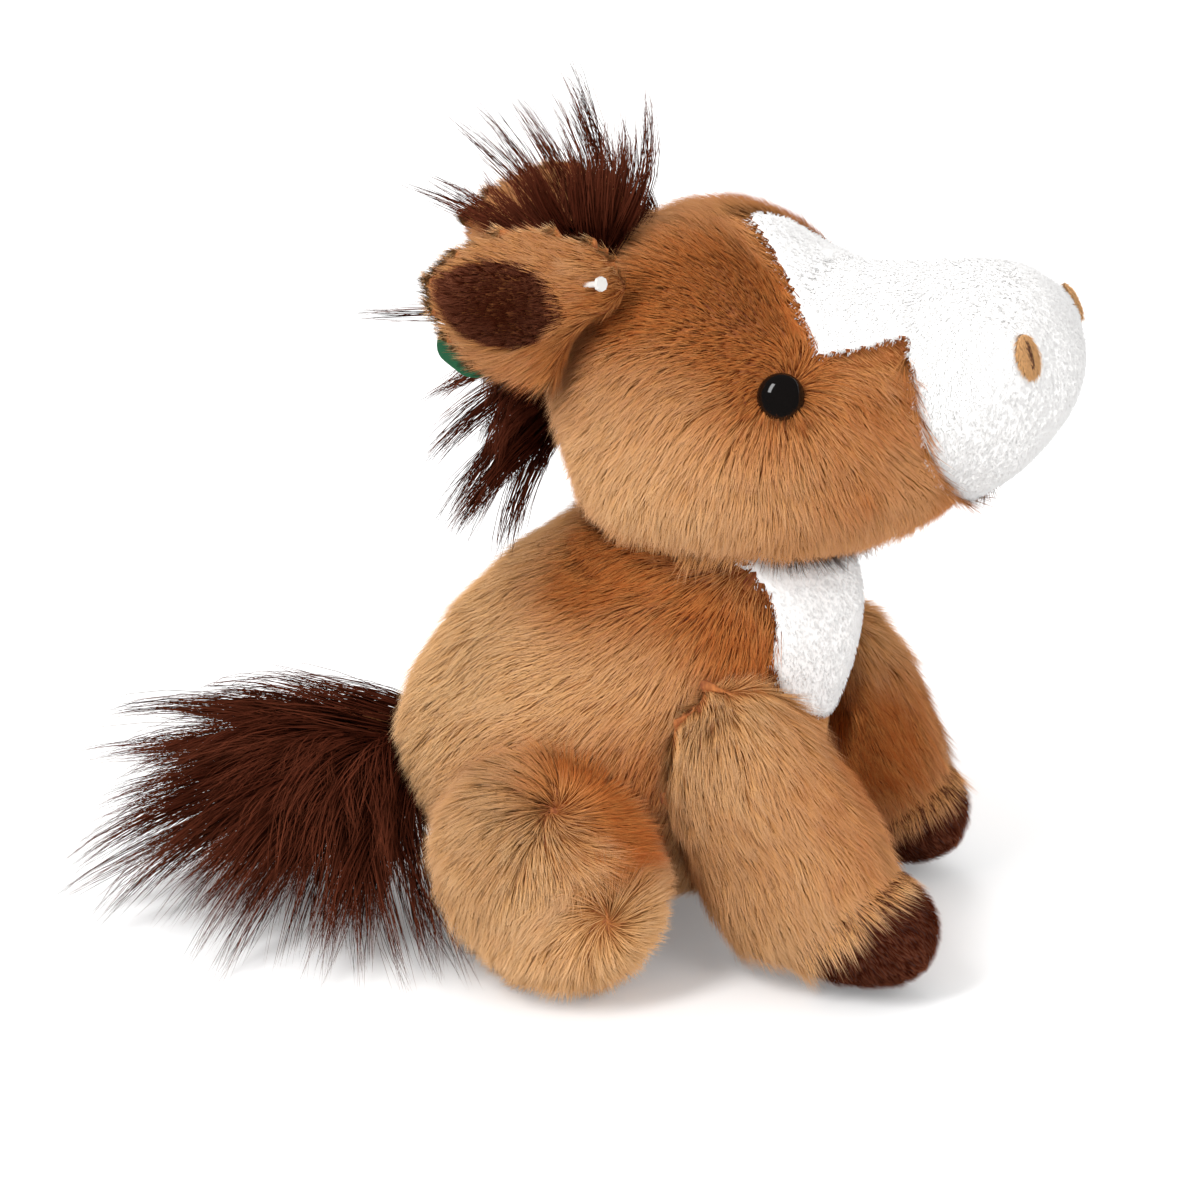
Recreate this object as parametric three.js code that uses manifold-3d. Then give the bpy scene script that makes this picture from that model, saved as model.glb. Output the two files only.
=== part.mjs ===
// A seated plush pony, built the way it is sewn: a stuffed torso and head, four stuffed legs,
// cloth ears, a white muzzle, blaze and bib set in as panels, short-pile hooves, plastic eyes
// held by washers, and a forelock, a mane and a tail of long pile.
// Millimetres, +X is the way the pony faces, +Y its left, +Z up, origin in the middle of the seat.
import * as THREE from "three";
import { mergeVertices } from "three/addons/utils/BufferGeometryUtils.js";
import Module from "manifold-3d";

const wasm = await Module();
wasm.setup();

// Cloths and clearances
const COAT = 4; // tan plush: knitted backing with its pile laid flat
const SEAM = 0.35; // gap kept between two sewn pieces
const PLAY = 0.55; // gap kept between two pieces that move on each other
const OVERRUN = 60; // how far a cutter runs past what it cuts
const SEAT_CUT = 0.5; // depth of the flats that the toy rests on

// Torso, and the bag of pellets in its seat
const TORSO_HEIGHT = 98;
const TORSO_DEPTH = 97;
const TORSO_WIDTH = 82;
const NECK_LEAN = 24;
const BEAN_BAG_HEIGHT = 24;
const torsoLeanShares = [0.08, 0.1, 0.09, 0.41, 0.8, 0.92];
const torsoDepthShares = [0.92, 0.99, 1, 0.96, 0.8, 0.54];
const torsoWidthShares = [0.96, 1, 1, 0.95, 0.84, 0.6];
const torsoRoundShares = [0.3, 0.26];

// White bib on the chest: its half widths from its tip up
const BIB_TIP_HEIGHT = 45;
const BIB_TOP_HEIGHT = 90;
const BIB_WIDTH = 52;
const bibAlongShares = [0, 0.1, 0.25, 0.45, 0.75, 1];
const bibAcrossShares = [0, 0.5, 0.8, 0.95, 0.85, 0.7];

// Neck: a ball of filling that the head turns and nods on
const NECK_BALL_R = 15;
const NECK_FORWARD = 20;
const NECK_HEIGHT = 89;
const TURN_DEG = 15;
const NOD_DEG = 8;

// Head, in a frame of its own: X along the nose, Z to the crown
const HEAD_LENGTH = 113;
const HEAD_BEHIND = 30;
const HEAD_HEIGHT = 85;
const HEAD_WIDTH = 86;
const HEAD_FORWARD = 20;
const HEAD_RISE = 116;
const HEAD_ROLL_DEG = 3;
const headDropShares = [0.14, 0.1, 0.02, -0.06, -0.04, 0.1, 0.25, 0.31];
const headHeightShares = [0.62, 0.84, 0.92, 0.86, 0.73, 0.61, 0.52, 0.42];
const headWidthShares = [0.76, 0.94, 1, 0.96, 0.82, 0.69, 0.62, 0.52];
const headRoundShares = [0.24, 0.15];

// Muzzle seam and blaze, in the head's frame
const MUZZLE_SEAM = 57.5;
const MUZZLE_TILT_DEG = -14;
const BLAZE_TIP = 13;
const BLAZE_WIDTH = 50;
const blazeAlongShares = [0, 0.02, 0.17, 0.31, 0.44, 0.58, 1];
const blazeAcrossShares = [0, 0.14, 0.5, 1, 0.9, 0.8, 0.8];

// Eyes: a domed button on a shank, held by a washer behind the cloth
const EYE_R = 4.8;
const EYE_DOME = 3.6;
const EYE_SUNK = 2.4;
const SHANK_R = 2;
const SHANK_LENGTH = 8;
const WASHER_R = 7;
const WASHER_THICK = 1.2;
const WASHER_DEPTH = 5.6;
const eyeAlongShare = 0.553;
const EYE_UP_DEG = 27;

// Nostrils: stitched leaf shapes
const NOSTRIL_LONG = 9;
const NOSTRIL_WIDE = 5.4;
const NOSTRIL_THICK = 1.6;
const nostrilAlongShare = 0.943;
const NOSTRIL_UP_DEG = 26;
const NOSTRIL_TILT_DEG = 30;

// Ears, with the direction that they stand out from the head
const EAR_LENGTH = 37;
const EAR_ROOT = 7; // how far the cloth runs in under the crown before it is trimmed
const EAR_WIDTH = 41;
const EAR_THICK = 9;
const EAR_BACK_RIGHT_DEG = 62;
const EAR_BACK_LEFT_DEG = 94; // the left ear is laid right back
const EAR_SEAT_RIGHT_DEG = 34;
const EAR_SEAT_LEFT_DEG = 25;
const EAR_UP_DEG = 18;
const EAR_FACE_DEG = 14;
const EAR_IN_DEG = 4;
const EAR_OUT_DEG = 16;
const earAlongShares = { right: 0.155, left: 0.06 };
const earWidthShares = [0.66, 0.96, 1, 0.86, 0.55];
const earThickShares = [1, 1, 1, 0.9, 0.7];
const earRoundShares = [0.1, 0.4];
const LINING_LENGTH = 28;
const LINING_START = 6;
const LINING_WIDTH = 20;
const LINING_THICK = 4;
const liningWidthShares = [0.6, 1, 1, 0.6];
const liningRoundShares = [0.4, 0.4];

// Plain swing tag behind the right ear, on a plastic tack
const TAG_LENGTH = 30;
const TAG_WIDTH = 14;
const TAG_THICK = 0.8;
const TAG_DEG = 63; // from the ear's length
const TAG_HOLE = 6; // from the top edge of the tag to its hole
const TACK_R = 0.6;
const TACK_HEAD_R = 1.5;
const TACK_HEAD_THICK = 0.8;
const TACK_START_ALONG = 3;
const TACK_START_UP = 11;
const TACK_END_ALONG = 12;

// Forelock and mane, in the head's frame
const FORELOCK_LENGTH = 25;
const FORELOCK_WIDTH = 34;
const FORELOCK_DEPTH = 40;
const FORELOCK_BACK = 17;
const FORELOCK_ROOT = 24;
const FORELOCK_LEAN_DEG = 38;
const MANE_LENGTH = 42;
const MANE_WIDTH = 36;
const MANE_DEPTH = 28;
const MANE_BACK = 18;
const MANE_DROP = 1;
const MANE_LEAN_DEG = 137;
const hairWidthShares = [0.75, 1, 0.95, 0.6];
const hairRoundShares = [0.2, 0.5];
const FORELOCK_LOCK_WIDTH = 12;
const forelockTips = [
  [-9, -4, 60],
  [-27, -1, 64],
  [-40, 0, 56],
  [-50, 3, 51],
  [-58, 0, 39],
  [-63, 6, 33],
];
const lockWidthShares = [0.7, 1, 0.7, 0.15];
const lockRoundShares = [0.3, 0.1];

// Forelegs and hooves
const SHOULDER_SPAN = 52;
const SHOULDER_FORWARD = 31;
const SHOULDER_LEAD = 4; // the left shoulder sits ahead of the middle by this, the right behind it
const SHOULDER_HEIGHT = 65;
const CUFF_SPAN = 64;
const CUFF_FORWARD = 58;
const FORELEG_LEAD = 6; // the right foreleg is set ahead of the middle by this, the left behind it
const CUFF_HEIGHT = 7;
const FORELEG_DEPTH = 46;
const FORELEG_WIDTH = 34;
const forelegDepthShares = [0.8, 0.9, 1, 0.94];
const forelegWidthShares = [0.85, 0.97, 1, 0.96];
const forelegRoundShares = [0.35, 0.2];
const FORELEG_LIFT_DEG = 20;
const HOOF_LENGTH = 40;
const HOOF_FRONT = 81;
const HOOF_DEPTH = 29;
const HOOF_WIDTH = 29;
const hoofShares = [0.8, 1, 1, 0.95];
const hoofRoundShares = [0.4, 0.35];

// Hind legs: a thigh against the flank and a short foot on the floor
const HIP_SPAN = 44;
const HIP_FORWARD = -10;
const HIP_HEIGHT = 31;
const HEEL_SPAN = 92;
const HEEL_FORWARD = 7;
const HEEL_HEIGHT = 22;
const TOE_SPAN = 130;
const TOE_FORWARD = 29;
const THIGH_DEPTH = 54;
const HEEL_DEPTH = 49;
const FOOT_DEPTH = 37;
const hindRoundShares = [0.35, 0.3];
const HIND_SPLAY_DEG = 12;

// Tail: a bush of long pile round a short cloth stub
const TAIL_HEIGHT = 28;
const TAIL_ROOT = 38;
const TAIL_END = 86;
const TAIL_SWAY = 52;
const TAIL_DEPTH = 40;
const TAIL_WIDTH = 90;
const TAIL_TILT_DEG = 14;
const tailDepthShares = [0.47, 0.76, 0.98, 1, 0.85];
const tailWidthShares = [0.4, 0.9, 1.05, 1, 0.76];
const tailDropShares = [1, 0.75, 0.54, 0.45, 0.4];
const tailRoundShares = [0.05, 0.3];
const TAIL_LOCK_WIDTH = 22;
const tailTips = [
  [-107, -18, 33],
  [-110, -30, 23],
  [-103, -52, 13],
  [-90, -64, 5],
  [-64, -73, 4],
  [-38, -75, 4],
];
const TAIL_CORE_R = 5;
const TAIL_CORE_END = 62;
const TAIL_IN_DEG = 4;
const TAIL_OUT_DEG = 20;

const coat = { color: 0xb9793f, roughness: 0.95, metalness: 0 };
const white = { color: 0xf2f0ee, roughness: 0.95, metalness: 0 };
const darkCoat = { color: 0x4a2a22, roughness: 0.95, metalness: 0 };
const longPile = { color: 0x3f211b, roughness: 0.85, metalness: 0 };
const fibre = { color: 0xf4f2ea, roughness: 1, metalness: 0 };
const beanCloth = { color: 0xd9d4c6, roughness: 0.9, metalness: 0 };
const glossBlack = { color: 0x0b0a0a, roughness: 0.12, metalness: 0 };
const plainPlastic = { color: 0xe6e6e2, roughness: 0.4, metalness: 0 };
const tanPatch = { color: 0xc7935f, roughness: 0.9, metalness: 0 };
const greenCard = { color: 0x1f6b45, roughness: 0.5, metalness: 0 };

const vec = (x, y, z) => new THREE.Vector3(x, y, z);
const ahead = vec(1, 0, 0);
const leftward = vec(0, 1, 0);
const upward = vec(0, 0, 1);
const radians = THREE.MathUtils.degToRad;
const SIDES = [["right", -1], ["left", 1]];

// Closed geometry to a solid
function solidOf(geometry) {
  const bare = geometry.clone();
  bare.deleteAttribute("normal");
  bare.deleteAttribute("uv");
  const merged = mergeVertices(bare);
  return new wasm.Manifold(
    new wasm.Mesh({
      numProp: 3,
      vertProperties: merged.attributes.position.array,
      triVerts: new Uint32Array(merged.index.array),
    }),
  );
}

function geometryOf(solid) {
  const { vertProperties, triVerts } = solid.getMesh();
  const geometry = new THREE.BufferGeometry();
  geometry.setAttribute("position", new THREE.BufferAttribute(vertProperties, 3));
  geometry.setIndex(new THREE.BufferAttribute(triVerts, 1));
  geometry.computeVertexNormals();
  return geometry;
}

const moved = (solid, matrix) => solid.transform(matrix.elements);

// The turn of a hinge by an angle, as a matrix
function hinge(pivot, axis, degrees) {
  return new THREE.Matrix4()
    .makeTranslation(pivot)
    .multiply(new THREE.Matrix4().makeRotationAxis(axis, radians(degrees)))
    .multiply(new THREE.Matrix4().makeTranslation(pivot.clone().negate()));
}

// Everything that a fixed solid reaches into, as seen from a piece that makes the given moves
function sweptPast(fixed, moves) {
  return moves
    .map((move) => moved(fixed, move.clone().invert()))
    .reduce((all, one) => all.add(one), fixed);
}

function ball(centre, radius, sides = 18) {
  return solidOf(new THREE.SphereGeometry(radius, sides, sides / 2).translate(...centre));
}

// A profile of [radius, height] pairs turned about a line that starts at a spot
function turned(profile, spot, direction, sides = 14) {
  const points = profile.map(([radius, height]) => new THREE.Vector2(radius, height));
  const geometry = new THREE.LatheGeometry(points, sides);
  geometry.applyQuaternion(new THREE.Quaternion().setFromUnitVectors(leftward, direction));
  return solidOf(geometry.translate(...spot));
}

const disc = (radius, low, high, spot, direction, sides) =>
  turned([[0, low], [radius, low], [radius, high], [0, high]], spot, direction, sides);

// A flat outline pushed through along Z, from low to high
function slab(outline, low, high) {
  const shape = new THREE.Shape(outline);
  const geometry = new THREE.ExtrudeGeometry(shape, { depth: high - low, bevelEnabled: false });
  return geometry.translate(0, 0, low);
}

// A symmetrical panel outline that starts in a point: along holds the distances from its start,
// across the full widths there
function panelOutline(along, across, start, margin) {
  const half = along.map((run, i) => {
    const isTip = across[i] === 0;
    return new THREE.Vector2(start + run - (isTip ? margin : 0), across[i] / 2 + (isTip ? 0 : margin));
  });
  const other = half.slice(1).reverse();
  return [...half, ...other.map((spot) => new THREE.Vector2(spot.x, -spot.y))];
}

// A stuffed form: sections that swell and taper along a spine, rounded at both ends.
// Sections are wide along the side direction and deep across it. They lie square to the spine, or
// square to the axis if one is given. A form can be lifted, which grows it by that much all round,
// or shrinks it.
class StuffedForm {
  constructor({ spine, axis, side, wide, deep, roundShares, rings = 12, sides = 16 }) {
    this.spine = new THREE.CatmullRomCurve3(spine);
    this.length = this.spine.getLength();
    this.sections = new THREE.CatmullRomCurve3(wide.map((w, i) => vec(w / 2, deep[i] / 2, 0)));
    Object.assign(this, { axis, side, roundShares, rings, sides });
  }

  axes(along) {
    const tangent = this.axis ?? this.spine.getTangent(along);
    const side = this.side.clone().addScaledVector(tangent, -this.side.dot(tangent)).normalize();
    return { tangent, side, face: new THREE.Vector3().crossVectors(tangent, side) };
  }

  point(share, angle, lift = 0) {
    const grown = lift / this.length;
    const along = -grown + share * (1 + 2 * grown);
    const inside = THREE.MathUtils.clamp(along, 0, 1);
    const { tangent, side, face } = this.axes(inside);
    const [start, end] = this.roundShares;
    const rounding = (part) => Math.sqrt(Math.max(0, 1 - (1 - Math.min(part, 1)) ** 2));
    const size = rounding(share / start) * rounding((1 - share) / end);
    const section = this.sections.getPoint(inside);
    return this.spine
      .getPoint(inside)
      .addScaledVector(tangent, (along - inside) * this.length)
      .addScaledVector(side, (section.x + lift) * size * Math.cos(angle))
      .addScaledVector(face, (section.y + lift) * size * Math.sin(angle));
  }

  normal(share, angle) {
    const step = 1e-3;
    const alongwise = this.point(share + step, angle).sub(this.point(share - step, angle));
    const aroundwise = this.point(share, angle + step).sub(this.point(share, angle - step));
    return aroundwise.cross(alongwise).normalize();
  }

  solid(lift = 0, rings = this.rings, sides = this.sides) {
    const geometry = new THREE.SphereGeometry(1, sides, rings);
    const spots = geometry.attributes.position;
    for (let i = 0; i < spots.count; i++) {
      const share = (1 - spots.getY(i)) / 2;
      const angle = Math.atan2(spots.getZ(i), spots.getX(i));
      const spot = this.point(share, angle, lift);
      spots.setXYZ(i, spot.x, spot.y, spot.z);
    }
    return solidOf(geometry);
  }
}

const sized = (shares, size) => shares.map((share) => size * share);
const part = new THREE.Group();
function piece(name, solid, look) {
  const mesh = new THREE.Mesh(geometryOf(solid), new THREE.MeshStandardMaterial(look));
  mesh.name = name;
  part.add(mesh);
}

function layerBelow(height) {
  const reach = TORSO_DEPTH + OVERRUN;
  const box = new THREE.BoxGeometry(2 * reach, 2 * reach, OVERRUN);
  return solidOf(box.translate(0, 0, height - OVERRUN / 2));
}
const floor = layerBelow(0);

// The torso
const torsoForm = new StuffedForm({
  spine: torsoLeanShares.map((lean, i, all) =>
    vec(NECK_LEAN * lean, 0, TORSO_HEIGHT * (i / (all.length - 1)) - SEAT_CUT),
  ),
  axis: upward,
  side: leftward.clone().negate(),
  wide: sized(torsoWidthShares, TORSO_WIDTH),
  deep: sized(torsoDepthShares, TORSO_DEPTH),
  roundShares: torsoRoundShares,
  rings: 14,
  sides: 22,
});
const torsoBulk = torsoForm.solid();
const torsoPlay = torsoForm.solid(PLAY);
const neck = vec(NECK_FORWARD, 0, NECK_HEIGHT);
const neckSocket = ball(neck, NECK_BALL_R + PLAY);

function bibSpace(margin) {
  const along = sized(bibAlongShares, BIB_TOP_HEIGHT - BIB_TIP_HEIGHT);
  const across = sized(bibAcrossShares, BIB_WIDTH);
  const outline = panelOutline(along, across, BIB_TIP_HEIGHT, margin);
  const upright = new THREE.Matrix4().makeBasis(upward, leftward, ahead.clone().negate());
  return solidOf(slab(outline, -TORSO_DEPTH, -NECK_FORWARD).applyMatrix4(upright));
}
const torsoShell = torsoBulk.subtract(torsoForm.solid(-COAT, 10, 14)).subtract(floor);
const torsoInside = torsoForm.solid(-COAT - SEAM, 10, 14);
piece("torso_skin", torsoShell.subtract(neckSocket).subtract(bibSpace(SEAM)), coat);
piece("chest_bib", torsoShell.intersect(bibSpace(0)).subtract(neckSocket), white);
piece(
  "torso_filling",
  torsoInside.subtract(layerBelow(BEAN_BAG_HEIGHT + SEAM)).subtract(neckSocket),
  fibre,
);
piece("seat_bean_bag", torsoInside.intersect(layerBelow(BEAN_BAG_HEIGHT)), beanCloth);
piece("neck_filling", ball(neck, NECK_BALL_R), fibre);

// The head. Its pieces are made in its own frame and then set on the neck.
const headPlace = new THREE.Matrix4()
  .makeTranslation(HEAD_FORWARD, 0, HEAD_RISE)
  .multiply(new THREE.Matrix4().makeRotationX(radians(HEAD_ROLL_DEG)));
const onHead = (solid) => moved(solid, headPlace);
const headForm = new StuffedForm({
  spine: headDropShares.map((drop, i, all) =>
    vec(HEAD_LENGTH * (i / (all.length - 1)) - HEAD_BEHIND, 0, (HEAD_HEIGHT / 2) * drop),
  ),
  side: leftward,
  wide: sized(headWidthShares, HEAD_WIDTH),
  deep: sized(headHeightShares, HEAD_HEIGHT),
  roundShares: headRoundShares,
  rings: 18,
  sides: 24,
});
const headBulk = headForm.solid();

// How the head moves on the neck, at the corners of its range
const headMoves = [-1, 0, 1].flatMap((turn) =>
  [-1, 1].map((nod) =>
    hinge(neck, upward, turn * TURN_DEG).multiply(hinge(neck, leftward, nod * NOD_DEG)),
  ),
);
const neckSpace = sweptPast(torsoPlay, headMoves);
const headTrim = neckSpace.add(neckSocket);

function muzzleSpace(margin) {
  const size = HEAD_LENGTH + OVERRUN;
  const box = new THREE.BoxGeometry(size, size, size).translate(size / 2 + margin, 0, 0);
  box.rotateY(radians(MUZZLE_TILT_DEG));
  return solidOf(box.translate(MUZZLE_SEAM, 0, 0));
}

function blazeSpace(margin) {
  const along = sized(blazeAlongShares, HEAD_LENGTH - HEAD_BEHIND - BLAZE_TIP);
  const across = sized(blazeAcrossShares, BLAZE_WIDTH);
  const outline = panelOutline(along, across, BLAZE_TIP, margin);
  return solidOf(slab(outline, 0, HEAD_HEIGHT));
}

// A spot on the head's surface, with the way out of it
function headSpot(alongShare, upDeg, s) {
  const angle = s < 0 ? Math.PI - radians(upDeg) : radians(upDeg);
  return { spot: headForm.point(alongShare, angle), out: headForm.normal(alongShare, angle) };
}

const eyeProfile = [[0, -EYE_SUNK - SHANK_LENGTH], [SHANK_R, -EYE_SUNK - SHANK_LENGTH]];
eyeProfile.push([SHANK_R, -EYE_SUNK], [EYE_R, -EYE_SUNK]);
const DOME_STEPS = 4;
for (let i = 1; i <= DOME_STEPS; i++) {
  const angle = (i / DOME_STEPS) * (Math.PI / 2);
  eyeProfile.push([EYE_R * Math.cos(angle), EYE_DOME * Math.sin(angle) - EYE_SUNK]);
}
eyeProfile.at(-1)[0] = 0;

let headHoles = headTrim;
const placedEyes = [];
for (const [name, s] of SIDES) {
  const { spot, out } = headSpot(eyeAlongShare, EYE_UP_DEG, s);
  const at = spot.clone().applyMatrix4(headPlace);
  const way = out.clone().transformDirection(headPlace);
  const back = -EYE_SUNK - SHANK_LENGTH;
  const washerBack = -WASHER_DEPTH - WASHER_THICK;
  const shankHole = disc(SHANK_R + SEAM, back - SEAM, OVERRUN, at, way);
  const well = disc(EYE_R + SEAM, -EYE_SUNK - SEAM, OVERRUN, at, way);
  const washer = disc(WASHER_R, washerBack, -WASHER_DEPTH, at, way);
  const washerWell = disc(WASHER_R + SEAM, washerBack - SEAM, -COAT, at, way);
  placedEyes.push({ shankHole, well, washerWell });
  piece(`eye_${name}`, turned(eyeProfile, at, way), glossBlack);
  piece(`eye_washer_${name}`, washer.subtract(shankHole), plainPlastic);
}

const headShell = onHead(headBulk.subtract(headForm.solid(-COAT, 12, 16)));
const skinTrim = placedEyes.reduce((all, eye) => all.add(eye.shankHole).add(eye.well), headTrim);
const fillingTrim = placedEyes.reduce(
  (all, eye) => all.add(eye.shankHole).add(eye.washerWell),
  headTrim,
);
const whiteSpace = muzzleSpace(-SEAM).add(blazeSpace(SEAM));
piece("head_skin", headShell.subtract(onHead(whiteSpace)).subtract(skinTrim), coat);
const blazeCut = blazeSpace(0).subtract(muzzleSpace(-SEAM));
piece("face_blaze", headShell.intersect(onHead(blazeCut)), white);
const headInside = onHead(headForm.solid(-COAT - SEAM, 12, 16));
piece("head_filling", headInside.subtract(fillingTrim), fibre);

// Nostrils, let into the muzzle
let muzzle = headShell.intersect(onHead(muzzleSpace(0)));
for (const [name, s] of SIDES) {
  const { spot, out } = headSpot(nostrilAlongShare, NOSTRIL_UP_DEG, s);
  const forward = ahead.clone().addScaledVector(out, -out.x).normalize();
  const sideways = new THREE.Vector3().crossVectors(out, forward);
  const leaf = (margin) => {
    const long = NOSTRIL_LONG / 2 + margin;
    const wide = NOSTRIL_WIDE / 2 + margin;
    const thick = NOSTRIL_THICK / 2 + margin;
    const turn = new THREE.Matrix4().makeRotationZ(radians(-s * NOSTRIL_TILT_DEG));
    const frame = new THREE.Matrix4().makeBasis(forward, sideways, out).setPosition(spot);
    const egg = new THREE.SphereGeometry(1, 12, 6).scale(wide, long, thick);
    return onHead(solidOf(egg.applyMatrix4(frame.multiply(turn))));
  };
  muzzle = muzzle.subtract(leaf(SEAM));
  piece(`nostril_${name}`, leaf(0), tanPatch);
}
piece("muzzle_skin", muzzle, white);

// Forelock and mane, sewn to the crown and the nape
function tuft(back, height, leanDeg, length, width, depth) {
  const start = vec(-back, 0, height);
  const way = upward.clone().applyAxisAngle(leftward, radians(-leanDeg));
  return new StuffedForm({
    spine: [0, 0.5, 1].map((share) => start.clone().addScaledVector(way, length * share)),
    side: leftward,
    wide: sized(hairWidthShares, width),
    deep: sized(hairWidthShares, depth),
    roundShares: hairRoundShares,
    rings: 8,
    sides: 12,
  });
}
// A pointed lock that runs from a root to a tip
function lock(root, tip, width) {
  return new StuffedForm({
    spine: [root, root.clone().lerp(tip, 0.5), tip],
    side: leftward,
    wide: sized(lockWidthShares, width),
    deep: sized(lockWidthShares, width),
    roundShares: lockRoundShares,
    rings: 5,
    sides: 6,
  }).solid();
}
const joined = (solids) => solids.reduce((all, one) => all.add(one));
const hairTrim = onHead(headForm.solid(SEAM)).add(neckSpace);
const forelock = tuft(
  FORELOCK_BACK, FORELOCK_ROOT, FORELOCK_LEAN_DEG, FORELOCK_LENGTH, FORELOCK_WIDTH, FORELOCK_DEPTH,
);
const mane = tuft(MANE_BACK, MANE_DROP, MANE_LEAN_DEG, MANE_LENGTH, MANE_WIDTH, MANE_DEPTH);
const forelockRoot = forelock.spine.getPoint(0.2);
const forelockLocks = forelockTips.map((tip) =>
  lock(forelockRoot.clone().lerp(vec(...tip), 0.2), vec(...tip), FORELOCK_LOCK_WIDTH),
);
const forelockForm = joined([forelock.solid(), ...forelockLocks]);
piece("forelock", onHead(forelockForm).subtract(hairTrim), longPile);
piece("neck_mane", onHead(mane.solid()).subtract(hairTrim), longPile);

// Ears, each in a frame of its own: X along the ear, Y across it, Z out of its open side.
// The right ear's Y points down.
const headPlay = headForm.solid(PLAY);
const straight = (from, to, height) =>
  [0, 0.5, 1].map((share) => vec(from + (to - from) * share, 0, height));
function earFrame(name, s) {
  const { spot } = headSpot(earAlongShares[name], s < 0 ? EAR_SEAT_RIGHT_DEG : EAR_SEAT_LEFT_DEG, s);
  const back = radians(s < 0 ? EAR_BACK_RIGHT_DEG : EAR_BACK_LEFT_DEG);
  const rise = radians(EAR_UP_DEG);
  const sideways = s * Math.cos(back) * Math.cos(rise);
  const way = vec(-Math.sin(back) * Math.cos(rise), sideways, Math.sin(rise));
  const out = vec(Math.cos(back), s * Math.sin(back), 0);
  const face = out.applyAxisAngle(way, s * radians(EAR_FACE_DEG));
  const across = new THREE.Vector3().crossVectors(face, way);
  return new THREE.Matrix4().makeBasis(way, across, face).setPosition(spot);
}
const earForm = new StuffedForm({
  spine: straight(-EAR_ROOT, EAR_LENGTH, 0),
  side: leftward,
  wide: sized(earWidthShares, EAR_WIDTH),
  deep: sized(earThickShares, EAR_THICK),
  roundShares: earRoundShares,
  rings: 9,
  sides: 12,
});
const liningForm = new StuffedForm({
  spine: straight(LINING_START, LINING_START + LINING_LENGTH, EAR_THICK / 2),
  side: leftward,
  wide: sized(liningWidthShares, LINING_WIDTH),
  deep: liningWidthShares.map(() => LINING_THICK),
  roundShares: liningRoundShares,
  rings: 6,
  sides: 10,
});
const still = vec(0, 0, 0);
const flops = [EAR_IN_DEG, -EAR_OUT_DEG].map((angle) => hinge(still, leftward, angle));

// The tack runs slanting through the right ear, to the tag behind it
const tackStart = vec(TACK_START_ALONG, -TACK_START_UP, EAR_THICK / 2 + SEAM);
const tagFront = -EAR_THICK / 2 - SEAM;
const tackEnd = vec(TACK_END_ALONG, 0, tagFront - TAG_THICK - TACK_HEAD_R);
const tackWay = tackStart.clone().sub(tackEnd).normalize();
const tackLong = tackStart.distanceTo(tackEnd);
const tackHole = disc(TACK_R + SEAM, -OVERRUN, OVERRUN, tackEnd, tackWay, 8);
const tackProfile = [
  [0, -TACK_HEAD_THICK],
  [TACK_HEAD_R, -TACK_HEAD_THICK],
  [TACK_HEAD_R, 0],
  [TACK_R, 0],
  [TACK_R, tackLong],
  [TACK_HEAD_R, tackLong],
  [TACK_HEAD_R, tackLong + TACK_HEAD_THICK],
  [0, tackLong + TACK_HEAD_THICK],
];
const card = new THREE.BoxGeometry(TAG_LENGTH, TAG_WIDTH, TAG_THICK)
  .translate(TAG_LENGTH / 2 - TAG_HOLE, 0, tagFront - TAG_THICK / 2)
  .rotateZ(radians(TAG_DEG))
  .translate(TACK_END_ALONG, 0, 0);

for (const [name, s] of SIDES) {
  const frame = headPlace.clone().multiply(earFrame(name, s));
  const seated = (solid) => moved(solid, frame);
  const crown = sweptPast(moved(headPlay, earFrame(name, s).invert()), flops);
  const trimmed = s < 0 ? crown.add(tackHole) : crown;
  const shell = earForm.solid().subtract(liningForm.solid(SEAM));
  piece(`ear_${name}_shell`, seated(shell.subtract(trimmed)), coat);
  piece(`ear_${name}_lining`, seated(liningForm.solid().subtract(trimmed)), darkCoat);
  if (s < 0) {
    piece("swing_tag", seated(solidOf(card).subtract(tackHole)), greenCard);
    piece("tag_tack", seated(turned(tackProfile, tackEnd, tackWay, 8)), plainPlastic);
  }
}

// Hind legs, and the room that they take up as they move
let hindRoom = wasm.Manifold.union([]);
for (const [name, s] of SIDES) {
  const hip = vec(HIP_FORWARD, (s * HIP_SPAN) / 2, HIP_HEIGHT);
  const heel = vec(HEEL_FORWARD, (s * HEEL_SPAN) / 2, HEEL_HEIGHT);
  const toe = vec(TOE_FORWARD, (s * TOE_SPAN) / 2, FOOT_DEPTH / 2 - SEAT_CUT);
  const thickness = [THIGH_DEPTH, HEEL_DEPTH, FOOT_DEPTH];
  const leg = new StuffedForm({
    spine: [hip, heel, toe],
    side: upward,
    wide: thickness,
    deep: thickness,
    roundShares: hindRoundShares,
    rings: 11,
    sides: 14,
  });
  const splays = [0.5, 1].map((share) => hinge(hip, upward, s * HIND_SPLAY_DEG * share));
  const trim = sweptPast(torsoPlay, splays).add(floor);
  const room = leg.solid(PLAY);
  hindRoom = splays.reduce((all, splay) => all.add(moved(room, splay)), hindRoom.add(room));
  piece(`hind_leg_${name}_skin`, leg.solid().subtract(leg.solid(-COAT, 8, 10)).subtract(trim), coat);
  piece(`hind_leg_${name}_filling`, leg.solid(-COAT - SEAM, 8, 10).subtract(trim), fibre);
}

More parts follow.
